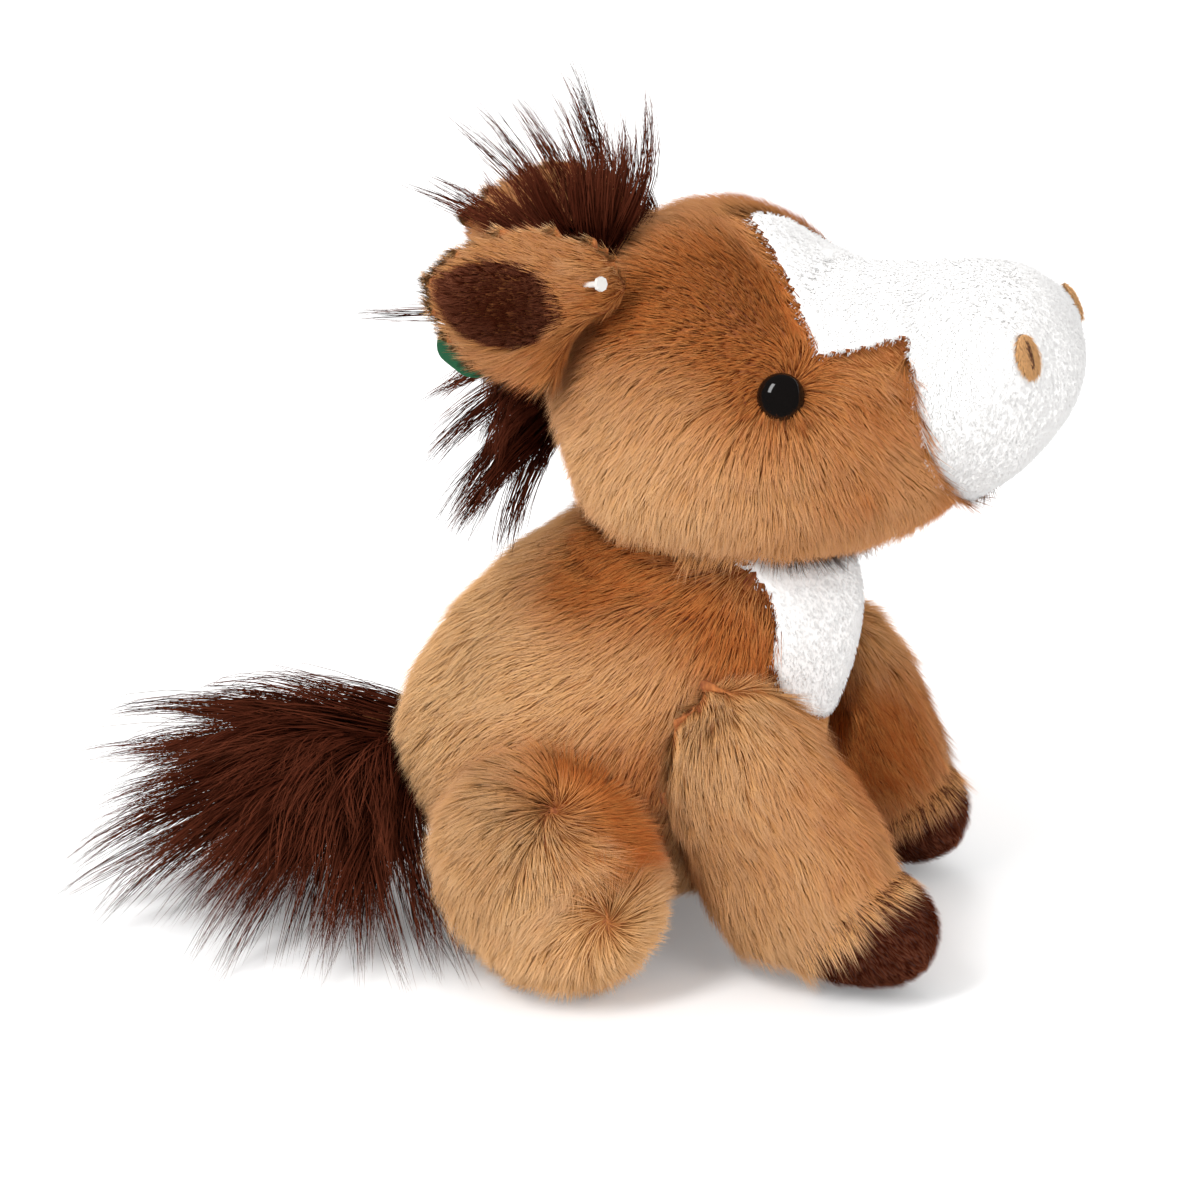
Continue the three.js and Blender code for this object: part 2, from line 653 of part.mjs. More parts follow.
// Forelegs with their hooves
for (const [name, s] of SIDES) {
  const shoulder = vec(SHOULDER_FORWARD + s * SHOULDER_LEAD, (s * SHOULDER_SPAN) / 2, SHOULDER_HEIGHT);
  const cuff = vec(CUFF_FORWARD - s * FORELEG_LEAD, (s * CUFF_SPAN) / 2, CUFF_HEIGHT);
  const leg = new StuffedForm({
    spine: forelegDepthShares.map((_, i, all) => shoulder.clone().lerp(cuff, i / (all.length - 1))),
    side: leftward.clone().negate(),
    wide: sized(forelegWidthShares, FORELEG_WIDTH),
    deep: sized(forelegDepthShares, FORELEG_DEPTH),
    roundShares: forelegRoundShares,
    rings: 11,
    sides: 14,
  });
  const hoofEnd = vec(HOOF_FRONT - s * FORELEG_LEAD, cuff.y, HOOF_DEPTH / 2 - SEAT_CUT);
  const hoof = new StuffedForm({
    spine: [1, 0.5, 0].map((share) => hoofEnd.clone().addScaledVector(ahead, -HOOF_LENGTH * share)),
    side: leftward.clone().negate(),
    wide: sized(hoofShares, HOOF_WIDTH),
    deep: sized(hoofShares, HOOF_DEPTH),
    roundShares: hoofRoundShares,
    rings: 9,
    sides: 14,
  });
  const lifts = [0.5, 1].map((share) =>
    hinge(shoulder, leftward.clone().negate(), share * FORELEG_LIFT_DEG),
  );
  const trim = sweptPast(torsoPlay.add(hindRoom), lifts).add(floor);
  const hoofRoom = hoof.solid(SEAM);
  const inside = leg.solid(-COAT, 8, 10);
  piece(
    `foreleg_${name}_skin`,
    leg.solid().subtract(inside).subtract(trim).subtract(hoofRoom),
    coat,
  );
  const filling = leg.solid(-COAT - SEAM, 8, 10);
  piece(`foreleg_${name}_filling`, filling.subtract(trim).subtract(hoofRoom), fibre);
  piece(`fore_hoof_${name}`, hoof.solid().subtract(floor), darkCoat);
}

// The tail and its stub
const tailForm = new StuffedForm({
  spine: tailDropShares.map((drop, i, all) => {
    const share = i / (all.length - 1);
    return vec(-TAIL_ROOT - (TAIL_END - TAIL_ROOT) * share, -TAIL_SWAY * share, TAIL_HEIGHT * drop);
  }),
  side: leftward.clone().applyAxisAngle(ahead, radians(TAIL_TILT_DEG)),
  wide: sized(tailWidthShares, TAIL_WIDTH),
  deep: sized(tailDepthShares, TAIL_DEPTH),
  roundShares: tailRoundShares,
  rings: 10,
  sides: 16,
});
const tailRoot = vec(-TAIL_ROOT, 0, TAIL_HEIGHT);
const wags = [-TAIL_OUT_DEG, -TAIL_OUT_DEG / 2, TAIL_IN_DEG].map((angle) =>
  hinge(tailRoot, upward, angle),
);
const tailTrim = sweptPast(torsoPlay.add(hindRoom), wags).add(floor);
const core = (margin) =>
  disc(TAIL_CORE_R + margin, 0, TAIL_CORE_END - TAIL_ROOT + margin, tailRoot, ahead.clone().negate());
const tailMiddle = tailForm.spine.getPoint(0.3);
const tailLocks = tailTips.map((tip) =>
  lock(tailMiddle.clone().lerp(vec(...tip), 0.3), vec(...tip), TAIL_LOCK_WIDTH),
);
const tailBush = joined([tailForm.solid(), ...tailLocks]);
piece("tail", tailBush.subtract(core(SEAM)).subtract(tailTrim), longPile);
piece("tail_core", core(0).subtract(tailTrim), coat);

export default part;
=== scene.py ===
"""Seated plush pony: cloth, pile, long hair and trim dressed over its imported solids.

Metres, in the frame of the solids: +X the way the pony faces, +Y its left, +Z up.
"""

import math
from contextlib import contextmanager
from typing import NamedTuple

import bmesh
import bpy
import numpy as np
from mathutils import Matrix, Vector
from mathutils.bvhtree import BVHTree
from mathutils.kdtree import KDTree


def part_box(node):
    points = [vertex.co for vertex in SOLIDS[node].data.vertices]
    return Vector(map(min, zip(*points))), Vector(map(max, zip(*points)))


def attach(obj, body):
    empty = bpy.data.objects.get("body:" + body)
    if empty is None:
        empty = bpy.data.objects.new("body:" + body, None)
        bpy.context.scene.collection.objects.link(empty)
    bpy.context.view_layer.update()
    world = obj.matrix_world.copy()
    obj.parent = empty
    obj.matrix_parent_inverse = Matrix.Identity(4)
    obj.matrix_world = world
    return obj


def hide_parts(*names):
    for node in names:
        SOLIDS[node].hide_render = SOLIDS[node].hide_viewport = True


bl_info = {
    "name": "Plush Pony Dressing",
    "version": (1, 0, 0),
    "blender": (4, 5, 0),
    "location": "3D View > Sidebar > Pony",
    "description": "Dresses the solids of a seated plush pony in cloth, pile and long hair",
    "category": "Object",
}

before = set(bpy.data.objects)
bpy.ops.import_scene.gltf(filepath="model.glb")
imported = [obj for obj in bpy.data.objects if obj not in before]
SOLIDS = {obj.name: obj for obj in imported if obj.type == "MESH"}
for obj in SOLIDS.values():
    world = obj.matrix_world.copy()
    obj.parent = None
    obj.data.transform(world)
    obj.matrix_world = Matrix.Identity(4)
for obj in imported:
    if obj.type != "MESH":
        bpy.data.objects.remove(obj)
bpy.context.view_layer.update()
MM = 0.001
SIDES = {"right": -1, "left": 1}

# Strands of pile on one piece
STRANDS = {
    "torso": 38000, "head": 44000, "ear": 13000, "foreleg": 28000, "hind_leg": 33000,
    "bib": 6500, "blaze": 5500, "muzzle": 20000, "hoof": 8000, "lining": 4200, "nostril": 1400,
}
# Locks of long hair on one piece, and hairs in a lock
LOCKS = {"forelock": 140, "mane": 90, "tail": 225}
HAIRS_IN_LOCK = {"forelock": 22, "mane": 22, "tail": 24}

# Rings of corners along a strand of pile, which is straight, and along a hair, which bends
PILE_STATIONS = 2
HAIR_STATIONS = 7

# How far strands differ from their neighbours: angles in radians, the rest as shares
TUFT_TURN, STRAND_TURN, SWIRL_TURN = 0.1, 0.13, 0.22
SHORTEST, LONGEST, TUFT_LENGTH = 0.75, 1.12, 0.06
LIFT_SPREAD, LEAST_LIFT, MOST_LIFT = 0.12, 0.12, 1.5
TONE_SPREAD = 0.05

# Shape of a strand of pile and of a hair: its taper, how softly it is shaded and how flat it is
PILE_TAPER, PILE_SOFT, PILE_FLAT = 0.6, 0.65, 0.4
HAIR_TAPER, HAIR_SOFT, HAIR_FLAT = 0.45, 0.5, 0.6

# Cloth is sunk little where it lies nearer than this to its neighbours, and fully beyond the band
SEAM_GAP = 1.0 * MM
SEAM_BAND = 3.5 * MM

# How a cloth is blown up: by this pressure for so many frames, and never further than this
PRESSURE = 4
PRESSURE_FRAMES = 20
MOST_SWELL = 1.2 * MM

# Share of its faces that a cover keeps, and how full of its filling it is
COVER_SHARE = 0.4
STUFFED, FLAT_STUFFED = 0.9, 0.5

# No strand reaches lower than this, so that none goes through the floor
LOWEST_HAIR = 0.15 * MM


def paint(hexadecimal):
    """A colour written as it looks on a screen, in the values that Blender works with."""
    shares = [int(hexadecimal[i : i + 2], 16) / 255 for i in (0, 2, 4)]
    return tuple(s / 12.92 if s <= 0.04045 else ((s + 0.055) / 1.055) ** 2.4 for s in shares)


def mm(*values):
    """A place or a step given in millimetres"""
    return np.array(values, float) * MM


def unit(vectors):
    lengths = np.linalg.norm(vectors, axis=-1, keepdims=True)
    return vectors / np.maximum(lengths, 1e-12)


# Settings


def colour_setting(name, description, hexadecimal):
    return bpy.props.FloatVectorProperty(
        name=name, description=description, subtype="COLOR", size=3, min=0, max=1,
        default=paint(hexadecimal),
    )


def length_setting(name, description, millimetres):
    return bpy.props.FloatProperty(
        name=name, description=description, unit="LENGTH", min=0, default=millimetres * MM
    )


def angle_setting(name, description, degrees):
    return bpy.props.FloatProperty(
        name=name, description=description, subtype="ANGLE", default=math.radians(degrees)
    )


class PonyColours(bpy.types.PropertyGroup):
    """Colours of the cloths, hairs and trim"""

    # Dark roots and pale tips are partly painted: shade deep in the pile, and sheen on its top.
    tan_tip: colour_setting("Tan tip", "Pale ends of the tan pile", "FBD6A8")
    tan_middle: colour_setting("Tan middle", "Middle of the tan pile", "EDB87C")
    tan_root: colour_setting("Tan root", "Roots of the tan pile", "C67C42")
    # The rust colours are the pile's darker tone where it is short, and also painted shade in creases,
    # under the head and where parts meet.
    rust_tip: colour_setting("Rust tip", "Ends of the tan pile where it is short", "A5420F")
    rust_root: colour_setting("Rust root", "Roots of the tan pile in a crease", "641F06")
    white_tip: colour_setting("White tip", "Ends of the white nap", "FEFDFC")
    white_root: colour_setting("White root", "Roots of the white nap", "F8F6F4")
    dark_tip: colour_setting("Dark tip", "Ends of the dark brown nap", "A4644A")
    dark_root: colour_setting("Dark root", "Roots of the dark brown nap", "3F190D")
    hair_tip: colour_setting("Hair tip", "Ends of the mane, forelock and tail", "6C3826")
    hair_root: colour_setting("Hair root", "Roots of the mane, forelock and tail", "35130A")
    nostril: colour_setting("Nostril", "Stitched leaf on the muzzle", "DDA873")
    eye: colour_setting("Eye", "Polished button eye", "0D0A09")
    card: colour_setting("Card", "Plain swing tag", "1F6B45")


class PonyPile(bpy.types.PropertyGroup):
    """The cut of the short piles"""

    tan_length: length_setting("Tan length", "Length of the tan pile", 8.0)
    tan_depth: length_setting("Tan depth", "How deep the tan cloth lies below its pile", 3.2)
    tan_width: length_setting("Tan width", "Width of a tan strand", 0.23)
    nap_length: length_setting("White length", "Length of the white nap", 1.0)
    nap_depth: length_setting("White depth", "How deep the white cloth lies below its nap", 0.9)
    nap_width: length_setting("White width", "Width of a white strand", 0.24)
    hoof_length: length_setting("Hoof length", "Length of the nap of the hooves and ear linings", 3.2)
    hoof_depth: length_setting("Hoof depth", "How deep the dark cloth lies below its nap", 1.6)
    share_laid: bpy.props.FloatProperty(
        name="Share laid", description="Share of the strands that are made, for quick looks",
        subtype="FACTOR", min=0.05, max=1, default=1.0,
    )


class PonyHair(bpy.types.PropertyGroup):
    """The long hair"""

    width: length_setting("Width", "Width of a hair at its root", 0.26)


class PonyStage(bpy.types.PropertyGroup):
    """Camera and light"""

    camera_turn: angle_setting("Camera turn", "How far the camera stands round from the right side", 20)
    camera_rise: angle_setting("Camera rise", "Angle of the camera above the floor", 20)
    camera_distance: length_setting("Camera distance", "From the camera to its target", 1000)
    target_height: length_setting("Target height", "Height that the camera looks at", 65.2)
    view_width: length_setting("View width", "Width seen at the target", 252.6)
    sky: bpy.props.FloatProperty(
        name="Sky", description="Strength of the even light", min=0, default=1.0
    )
    key: bpy.props.FloatProperty(
        name="Key", description="Power of the key lamp", unit="POWER", min=0, default=8.0
    )


# Shaders


class Wire:
    """A socket whose sums and products are made of Math nodes"""

    def __init__(self, shader, socket):
        self.shader = shader
        self.socket = socket

    def math(self, operation, *others):
        values = dict(enumerate([self, *others]))
        return self.shader.node("ShaderNodeMath", {"operation": operation}, values)

    def swapped(self, operation, other):
        return self.shader.node("ShaderNodeMath", {"operation": operation}, {0: other, 1: self})

    def __add__(self, other):
        return self.math("ADD", other)

    def __mul__(self, other):
        return self.math("MULTIPLY", other)

    def __sub__(self, other):
        return self.math("SUBTRACT", other)

    def __rsub__(self, other):
        return self.swapped("SUBTRACT", other)

    __radd__ = __add__
    __rmul__ = __mul__


class Finish:
    """The nodes of a material, or of a world, being put together"""

    def __init__(self, name, owner=None):
        self.owner = owner or bpy.data.materials.new(name)
        self.owner.use_nodes = True
        self.tree = self.owner.node_tree
        self.tree.nodes.clear()

    def node(self, kind, settings=None, inputs=None, output=0):
        made = self.tree.nodes.new(kind)
        for key, value in (settings or {}).items():
            if key == "stops":
                self.set_stops(made.color_ramp, value)
            else:
                setattr(made, key, value)
        for key, value in (inputs or {}).items():
            if isinstance(value, Wire):
                self.tree.links.new(value.socket, made.inputs[key])
            else:
                made.inputs[key].default_value = value
        return Wire(self, made.outputs[output]) if made.outputs else None

    @staticmethod
    def set_stops(ramp, stops):
        while len(ramp.elements) < len(stops):
            ramp.elements.new(1)
        for element, (place, level) in zip(ramp.elements, stops):
            element.position = place
            element.color = (level, level, level, 1)

    def ramp(self, factor, *stops):
        return self.node("ShaderNodeValToRGB", {"stops": stops}, {0: factor})

    def mix(self, low, high, factor):
        full = [(*c, 1) if isinstance(c, tuple) else c for c in (low, high)]
        inputs = {0: factor, 6: full[0], 7: full[1]}
        return self.node("ShaderNodeMix", {"data_type": "RGBA"}, inputs, 2)

    def place(self, stretch=(1, 1, 1)):
        coords = self.node("ShaderNodeTexCoord", output=3)
        return self.node("ShaderNodeMapping", inputs={0: coords, 3: stretch})

    def noise(self, size, detail=2, stretch=(1, 1, 1)):
        inputs = {"Vector": self.place(stretch), "Scale": 1 / size, "Detail": detail}
        return self.node("ShaderNodeTexNoise", inputs=inputs)

    def bump(self, height, distance, strength=1.0):
        inputs = {"Height": height, "Distance": distance, "Strength": strength}
        return self.node("ShaderNodeBump", inputs=inputs)

    def close(self, colour, roughness, normal=None, **fixed):
        inputs = {"Base Color": colour, "Roughness": roughness}
        if isinstance(colour, tuple):
            inputs["Base Color"] = (*colour, 1)
        if normal:
            inputs["Normal"] = normal
        inputs.update(fixed)
        shader = self.node("ShaderNodeBsdfPrincipled", inputs=inputs)
        self.node("ShaderNodeOutputMaterial", inputs={0: shader})
        return self.owner


def pile_finish(name, root, middle, tip, pale):
    """Pile that is dark at its roots and pale at its tips, partly painted shade deep in the pile and
    sheen on its top: each colour is a pair, for its dark and its pale strands
    """
    finish = Finish(name)
    place = finish.node("ShaderNodeUVMap", {"uv_map": "pile"})
    tone = finish.node("ShaderNodeSeparateXYZ", inputs={0: place}, output=0)
    along = finish.node("ShaderNodeSeparateXYZ", inputs={0: place}, output=1)
    bottom, centre, top = (finish.mix(*pair, tone) for pair in (root, middle, tip))
    lower = finish.mix(bottom, centre, finish.ramp(along, (0.0, 0), (pale, 1)))
    colour = finish.mix(lower, top, finish.ramp(along, (pale, 0), (1.0, 1)))
    return finish.close(colour, 0.8, **{"Specular IOR Level": 0.0})


def cloth_finish(name, low, high):
    """The knitted ground that a pile stands on"""
    finish = Finish(name)
    streaks = finish.noise(1.1 * MM, 3, (1, 1, 0.35))
    patches = finish.noise(9 * MM, 2)
    tone = finish.ramp(streaks * 0.75 + patches * 0.4, (0.35, 0), (0.8, 1))
    normal = finish.bump(streaks, 0.3 * MM, 0.6)
    return finish.close(finish.mix(low, high, tone), 0.9, normal)


def plain_finish(name, colour, roughness, grain, depth, **fixed):
    """Moulded or printed stuff with a fine grain"""
    finish = Finish(name)
    speckle = finish.noise(grain, 4)
    darker = tuple(0.8 * c for c in colour)
    normal = finish.bump(speckle, depth, 0.4)
    return finish.close(finish.mix(darker, colour, speckle), roughness, normal, **fixed)


# Cloth


def new_object(name, mesh):
    made = bpy.data.objects.new(name, mesh)
    bpy.context.scene.collection.objects.link(made)
    return made


def object_of(name, bm):
    """Closes a bmesh as an object of its own"""
    mesh = bpy.data.meshes.new(name)
    bm.to_mesh(mesh)
    bm.free()
    return new_object(name, mesh)


@contextmanager
def reshaping(piece):
    """Opens a piece's mesh as a bmesh and writes it back"""
    bm = bmesh.new()
    bm.from_mesh(piece.data)
    yield bm
    bm.to_mesh(piece.data)
    bm.free()


def copy_of_solids(name, nodes):
    """One mesh of copies of solids, with their loose triangles merged"""
    bm = bmesh.new()
    for node in nodes:
        bm.from_mesh(SOLIDS[node].data)
    bmesh.ops.remove_doubles(bm, verts=bm.verts[:], dist=0.02 * MM)
    return object_of(name, bm)


def settle(piece):
    """Applies a piece's modifiers"""
    graph = bpy.context.evaluated_depsgraph_get()
    mesh = bpy.data.meshes.new_from_object(piece.evaluated_get(graph))
    old = piece.data
    piece.modifiers.clear()
    piece.data = mesh
    bpy.data.meshes.remove(old)
    mesh.name = piece.name


def modify(piece, kind, **settings):
    """Puts one modifier on a piece and applies it"""
    modifier = piece.modifiers.new(kind.lower(), kind)
    for key, value in settings.items():
        setattr(modifier, key, value)
    settle(piece)


def remesh(piece, voxel):
    modify(piece, "REMESH", mode="VOXEL", voxel_size=voxel)
    keep_largest_shell(piece)


def keep_largest_shell(piece):
    with reshaping(piece) as bm:
        left = set(bm.verts)
        shells = []
        while left:
            stack = [left.pop()]
            shell = list(stack)
            while stack:
                for edge in stack.pop().link_edges:
                    for vert in left.intersection(edge.verts):
                        left.remove(vert)
                        shell.append(vert)
                        stack.append(vert)
            shells.append(shell)
        shells.sort(key=len)
        for shell in shells[:-1]:
            bmesh.ops.delete(bm, geom=shell, context="VERTS")


def smooth(piece, times, factor=0.5):
    axes = {f"use_axis_{axis}": True for axis in "xyz"}
    with reshaping(piece) as bm:
        for _ in range(times):
            bmesh.ops.smooth_vert(bm, verts=bm.verts[:], factor=factor, **axes)


def read_rows(items, attribute, width, kind=np.float32):
    """One attribute of a mesh's corners, edges or triangles, with a row for each"""
    values = np.empty(len(items) * width, kind)
    items.foreach_get(attribute, values)
    return values.reshape(-1, width)


def corners_of(piece):
    return read_rows(piece.data.vertices, "co", 3, float)


def normals_of(piece):
    return read_rows(piece.data.vertices, "normal", 3).astype(float)


def set_corners(piece, places):
    piece.data.vertices.foreach_set("co", places.astype(np.float32).ravel())
    piece.data.update()


def sink(piece, depth):
    """Moves a cloth in by a depth, or by one depth for each of its corners"""
    steps = 3
    for _ in range(steps):
        share = np.broadcast_to(depth, len(piece.data.vertices))[:, None] / steps
        set_corners(piece, corners_of(piece) - normals_of(piece) * share)
        smooth(piece, 1, 0.3)


def depth_beside(piece, nodes, depth, least=0.1 * MM):
    """A depth for each corner of a cloth, small where the cloth is sewn against its neighbours"""
    tree = tree_of(nodes)
    gaps = np.array([tree.find_nearest(Vector(place))[3] for place in corners_of(piece)])
    return least + (depth - least) * np.clip((gaps - SEAM_GAP) / SEAM_BAND, 0, 1)


def clear_of(piece, nodes, gap, reach=5 * MM):
    """Moves a cloth out, straight off itself, where the solids that it covers come through"""
    tree = tree_of(nodes)
    places = corners_of(piece)
    for i, (place, way) in enumerate(zip(places.copy(), normals_of(piece))):
        way = Vector(way)
        start = Vector(place) - way * gap
        hit = tree.ray_cast(start, way, reach)[0]
        while hit is not None:
            places[i] = hit + way * gap
            hit = tree.ray_cast(hit + way * 0.01 * MM, way, reach)[0]
    set_corners(piece, places)


def stuff(piece):
    """Blows a cloth up from inside, as filling does, but never far"""
    rest = corners_of(piece)
    modifier = piece.modifiers.new("stuffing", "CLOTH")
    modifier.settings.use_pressure = True
    modifier.settings.uniform_pressure_force = PRESSURE
    modifier.settings.effector_weights.gravity = 0
    for number in range(1, PRESSURE_FRAMES + 1):
        bpy.context.scene.frame_set(number)
    settle(piece)
    bpy.context.scene.frame_set(1)
    swell = corners_of(piece) - rest
    far = np.linalg.norm(swell, axis=1, keepdims=True)
    set_corners(piece, rest + swell * np.minimum(1, MOST_SWELL / np.maximum(far, 1e-9)))
    smooth(piece, 1, 0.4)


def subdivide(piece, levels=1):
    modify(piece, "SUBSURF", levels=levels, render_levels=levels)


def tree_of(nodes):
    corners, faces, start = [], [], 0
    for node in nodes:
        mesh = SOLIDS[node].data
        corners += [v.co.copy() for v in mesh.vertices]
        faces += [[start + i for i in p.vertices] for p in mesh.polygons]
        start += len(mesh.vertices)
    return BVHTree.FromPolygons(corners, faces)


def panels_at(piece, panels):
    """The panel that each corner of a form belongs to: the one whose solid is nearest"""
    trees = [tree_of([panel]) for panel in panels]
    gaps = np.array(
        [[tree.find_nearest(Vector(place))[3] for tree in trees] for place in corners_of(piece)]
    )
    return gaps.argmin(axis=1)


def sew(name, skins, inside, neighbours, depths, voxel=3.2 * MM, least=0.1 * MM, gap=0.0):
    """The cloth of a piece, and the panel that each of its corners belongs to.

    The cloth follows its solids and swells as a stuffed one does. It is sunk by the depth of each
    skin's pile, less beside its neighbours, and kept off what lies inside by a gap.
    """
    form = copy_of_solids(name, [skins[0], *inside, *skins[1:]])
    remesh(form, voxel)
    smooth(form, 2)
    stuff(form)
    subdivide(form)
    panels = panels_at(form, skins)
    sink(form, depth_beside(form, neighbours, np.array(depths)[panels], least))
    if gap:
        clear_of(form, inside, gap)
    return form, panels


def cut_panel(name, form, corner_panels, index, finish, thick=0.5 * MM):
    """The part of a form that is one panel, as a closed sheet of cloth"""
    bm = bmesh.new()
    bm.from_mesh(form.data)
    bm.verts.ensure_lookup_table()
    others = [
        face
        for face in bm.faces
        if sum(corner_panels[v.index] == index for v in face.verts) * 2 < len(face.verts)
    ]
    bmesh.ops.delete(bm, geom=others, context="FACES")
    piece = object_of(name, bm)
    modify(piece, "SOLIDIFY", thickness=thick, offset=-1)
    thin_out(piece)
    dress(piece, finish)
    return piece


def thin_out(piece):
    """Takes faces out of a cover, which lies hidden under its pile"""
    modify(piece, "DECIMATE", ratio=COVER_SHARE)


def cover_of(form, name, finish):
    """A whole form as a cover"""
    piece = new_object(name, form.data.copy())
    thin_out(piece)
    dress(piece, finish)
    return piece


def dress(piece, finish):
    piece.data.materials.clear()
    piece.data.materials.append(finish)
    piece.data.polygons.foreach_set("use_smooth", [True] * len(piece.data.polygons))


# Pile


class Nap:
    """How pile lies over a form. Every field has one value for each corner of the form."""

    def __init__(self, form, body, flow, mirrored=False):
        self.form = form
        self.body = body
        self.places = corners_of(form)
        self.edges = read_rows(form.data.edges, "vertices", 2, np.int32)
        self.normals = unit(normals_of(form))
        self.flip = np.ones_like(self.places)
        self.flip[:, 1] = np.where(mirrored & (self.places[:, 1] > 0), -1.0, 1.0)
        self.near = self.places * self.flip
        count = len(self.places)
        self.comb = np.tile(np.array(flow, float), (count, 1))
        self.tone = np.full(count, 0.72)
        self.length = np.ones(count)
        self.lift = np.full(count, 0.36)
        self.keep = np.ones(count)
        self.hang = 0.0
        around = self.normals
        for _ in range(4):
            around = self.spread_out(around)
        self.even = np.clip((np.linalg.norm(around, axis=1) - 0.7) / 0.25, 0, 1)

    def spread_out(self, field):
        """The mean of a field over each corner's neighbours"""
        total, count = field.copy(), np.ones(len(field))
        for here, there in (self.edges.T, self.edges.T[::-1]):
            np.add.at(total, here, field[there])
            np.add.at(count, here, 1)
        return total / count[:, None]

    def weight(self, centre, reach):
        far = np.linalg.norm(self.near - mm(*centre), axis=1)
        return np.exp(-((far / (reach * MM)) ** 2))

    def stroke(self, centre, reach, direction, strength=3.0):
        """Combs the pile one way around a spot"""
        self.comb += (strength * self.weight(centre, reach))[:, None] * np.array(direction)
        return self

    def whorl(self, centre, reach, strength=3.0):
        """Combs the pile away from a spot, all round"""
        away = unit(self.near - mm(*centre))
        away += 0.5 * np.cross(self.normals * self.flip, away)
        self.comb += (strength * self.weight(centre, reach))[:, None] * away
        return self

    def patch(self, centre, reach, tone=0.0, length=0.0, lift=0.0):
        """Makes the pile darker, shorter or more upright around a spot"""
        weight = self.weight(centre, reach)
        self.tone += tone * weight
        self.length *= 1 + length * weight
        self.lift += lift * weight
        return self

    def shade_near(self, neighbours, amount, reach=6.0):
        """Darkens the pile towards its neighbours: painted shade where the parts meet"""
        tree = tree_of(neighbours)
        gaps = np.array([tree.find_nearest(Vector(place))[3] for place in self.places])
        self.tone -= amount * np.exp(-np.maximum(0, gaps / MM - 3) / reach)
        return self

    def tuck_under(self, neighbours, hidden, rings=3):
        """Leaves the pile out of the part that neighbours cover, but for some rings of faces"""
        tree = tree_of(neighbours)
        under = np.zeros(len(self.places))
        for i, (place, normal) in enumerate(zip(self.places, self.normals)):
            near, facing, _, _ = tree.find_nearest(Vector(place))
            within = (Vector(place) - near).dot(facing) < 0
            under[i] = within or tree.ray_cast(Vector(place), Vector(normal), hidden)[0] is not None
        for _ in range(rings):
            least = under.copy()
            for here, there in (self.edges.T, self.edges.T[::-1]):
                np.minimum.at(least, here, under[there])
            under = least
        self.keep *= 1 - under
        return self

    def only(self, corner_panels, index):
        self.keep = self.keep * (corner_panels == index)
        return self

    def direction(self):
        """The way the pile is combed along the cloth, and how far it stands up off an edge"""
        flow = unit(self.comb * self.flip)
        straight = np.sum(flow * self.normals, 1)
        rise = np.clip((np.arcsin(np.clip(straight, -1, 1)) - 0.75) / 0.8, 0, 1)
        return unit(flow - self.normals * straight[:, None]), 1.3 * self.hang * rise


def strand_shape(stations):
    """One strand, modelled upright and one long: a closed three-sided taper, cut where it bends.

    Returns for each corner its place across and its station, and the triangles.
    """
    bm = bmesh.new()
    upright = Matrix.Translation((0, 0, 0.5))
    bmesh.ops.create_cone(
        bm, cap_ends=True, segments=3, radius1=1, radius2=0, depth=1, matrix=upright
    )
    for number in range(1, stations - 1):
        height = number / (stations - 1)
        geometry = bm.verts[:] + bm.edges[:] + bm.faces[:]
        bmesh.ops.bisect_plane(bm, geom=geometry, plane_co=(0, 0, height), plane_no=(0, 0, 1))
    bmesh.ops.triangulate(bm, faces=bm.faces[:])
    bmesh.ops.recalc_face_normals(bm, faces=bm.faces[:])
    bm.verts.index_update()
    places = np.array([v.co[:] for v in bm.verts])
    triangles = np.array([[v.index for v in f.verts] for f in bm.faces])
    bm.free()
    station = np.rint(places[:, 2] * (stations - 1)).astype(int)
    wide = np.maximum(1 - places[:, 2], 1e-6)[:, None]
    across = np.where(station[:, None] == stations - 1, 0, places[:, :2] / wide)
    return across, station, triangles


def shade_softly(mesh, triangles, outward, soft):
    """Shades strands much as the cloth under them, so that they blend into one coat"""
    facing = unit(np.cross(triangles[:, 1] - triangles[:, 0], triangles[:, 2] - triangles[:, 0]))
    side = np.where(np.sum(facing * outward, axis=1, keepdims=True) < 0, -1.0, 1.0)
    lit = unit(soft * side * outward + (1 - soft) * facing).astype(np.float32)
    layer = mesh.attributes.new("custom_normal", "FLOAT_VECTOR", "CORNER")
    layer.data.foreach_set("vector", np.repeat(lit, 3, axis=0).ravel())


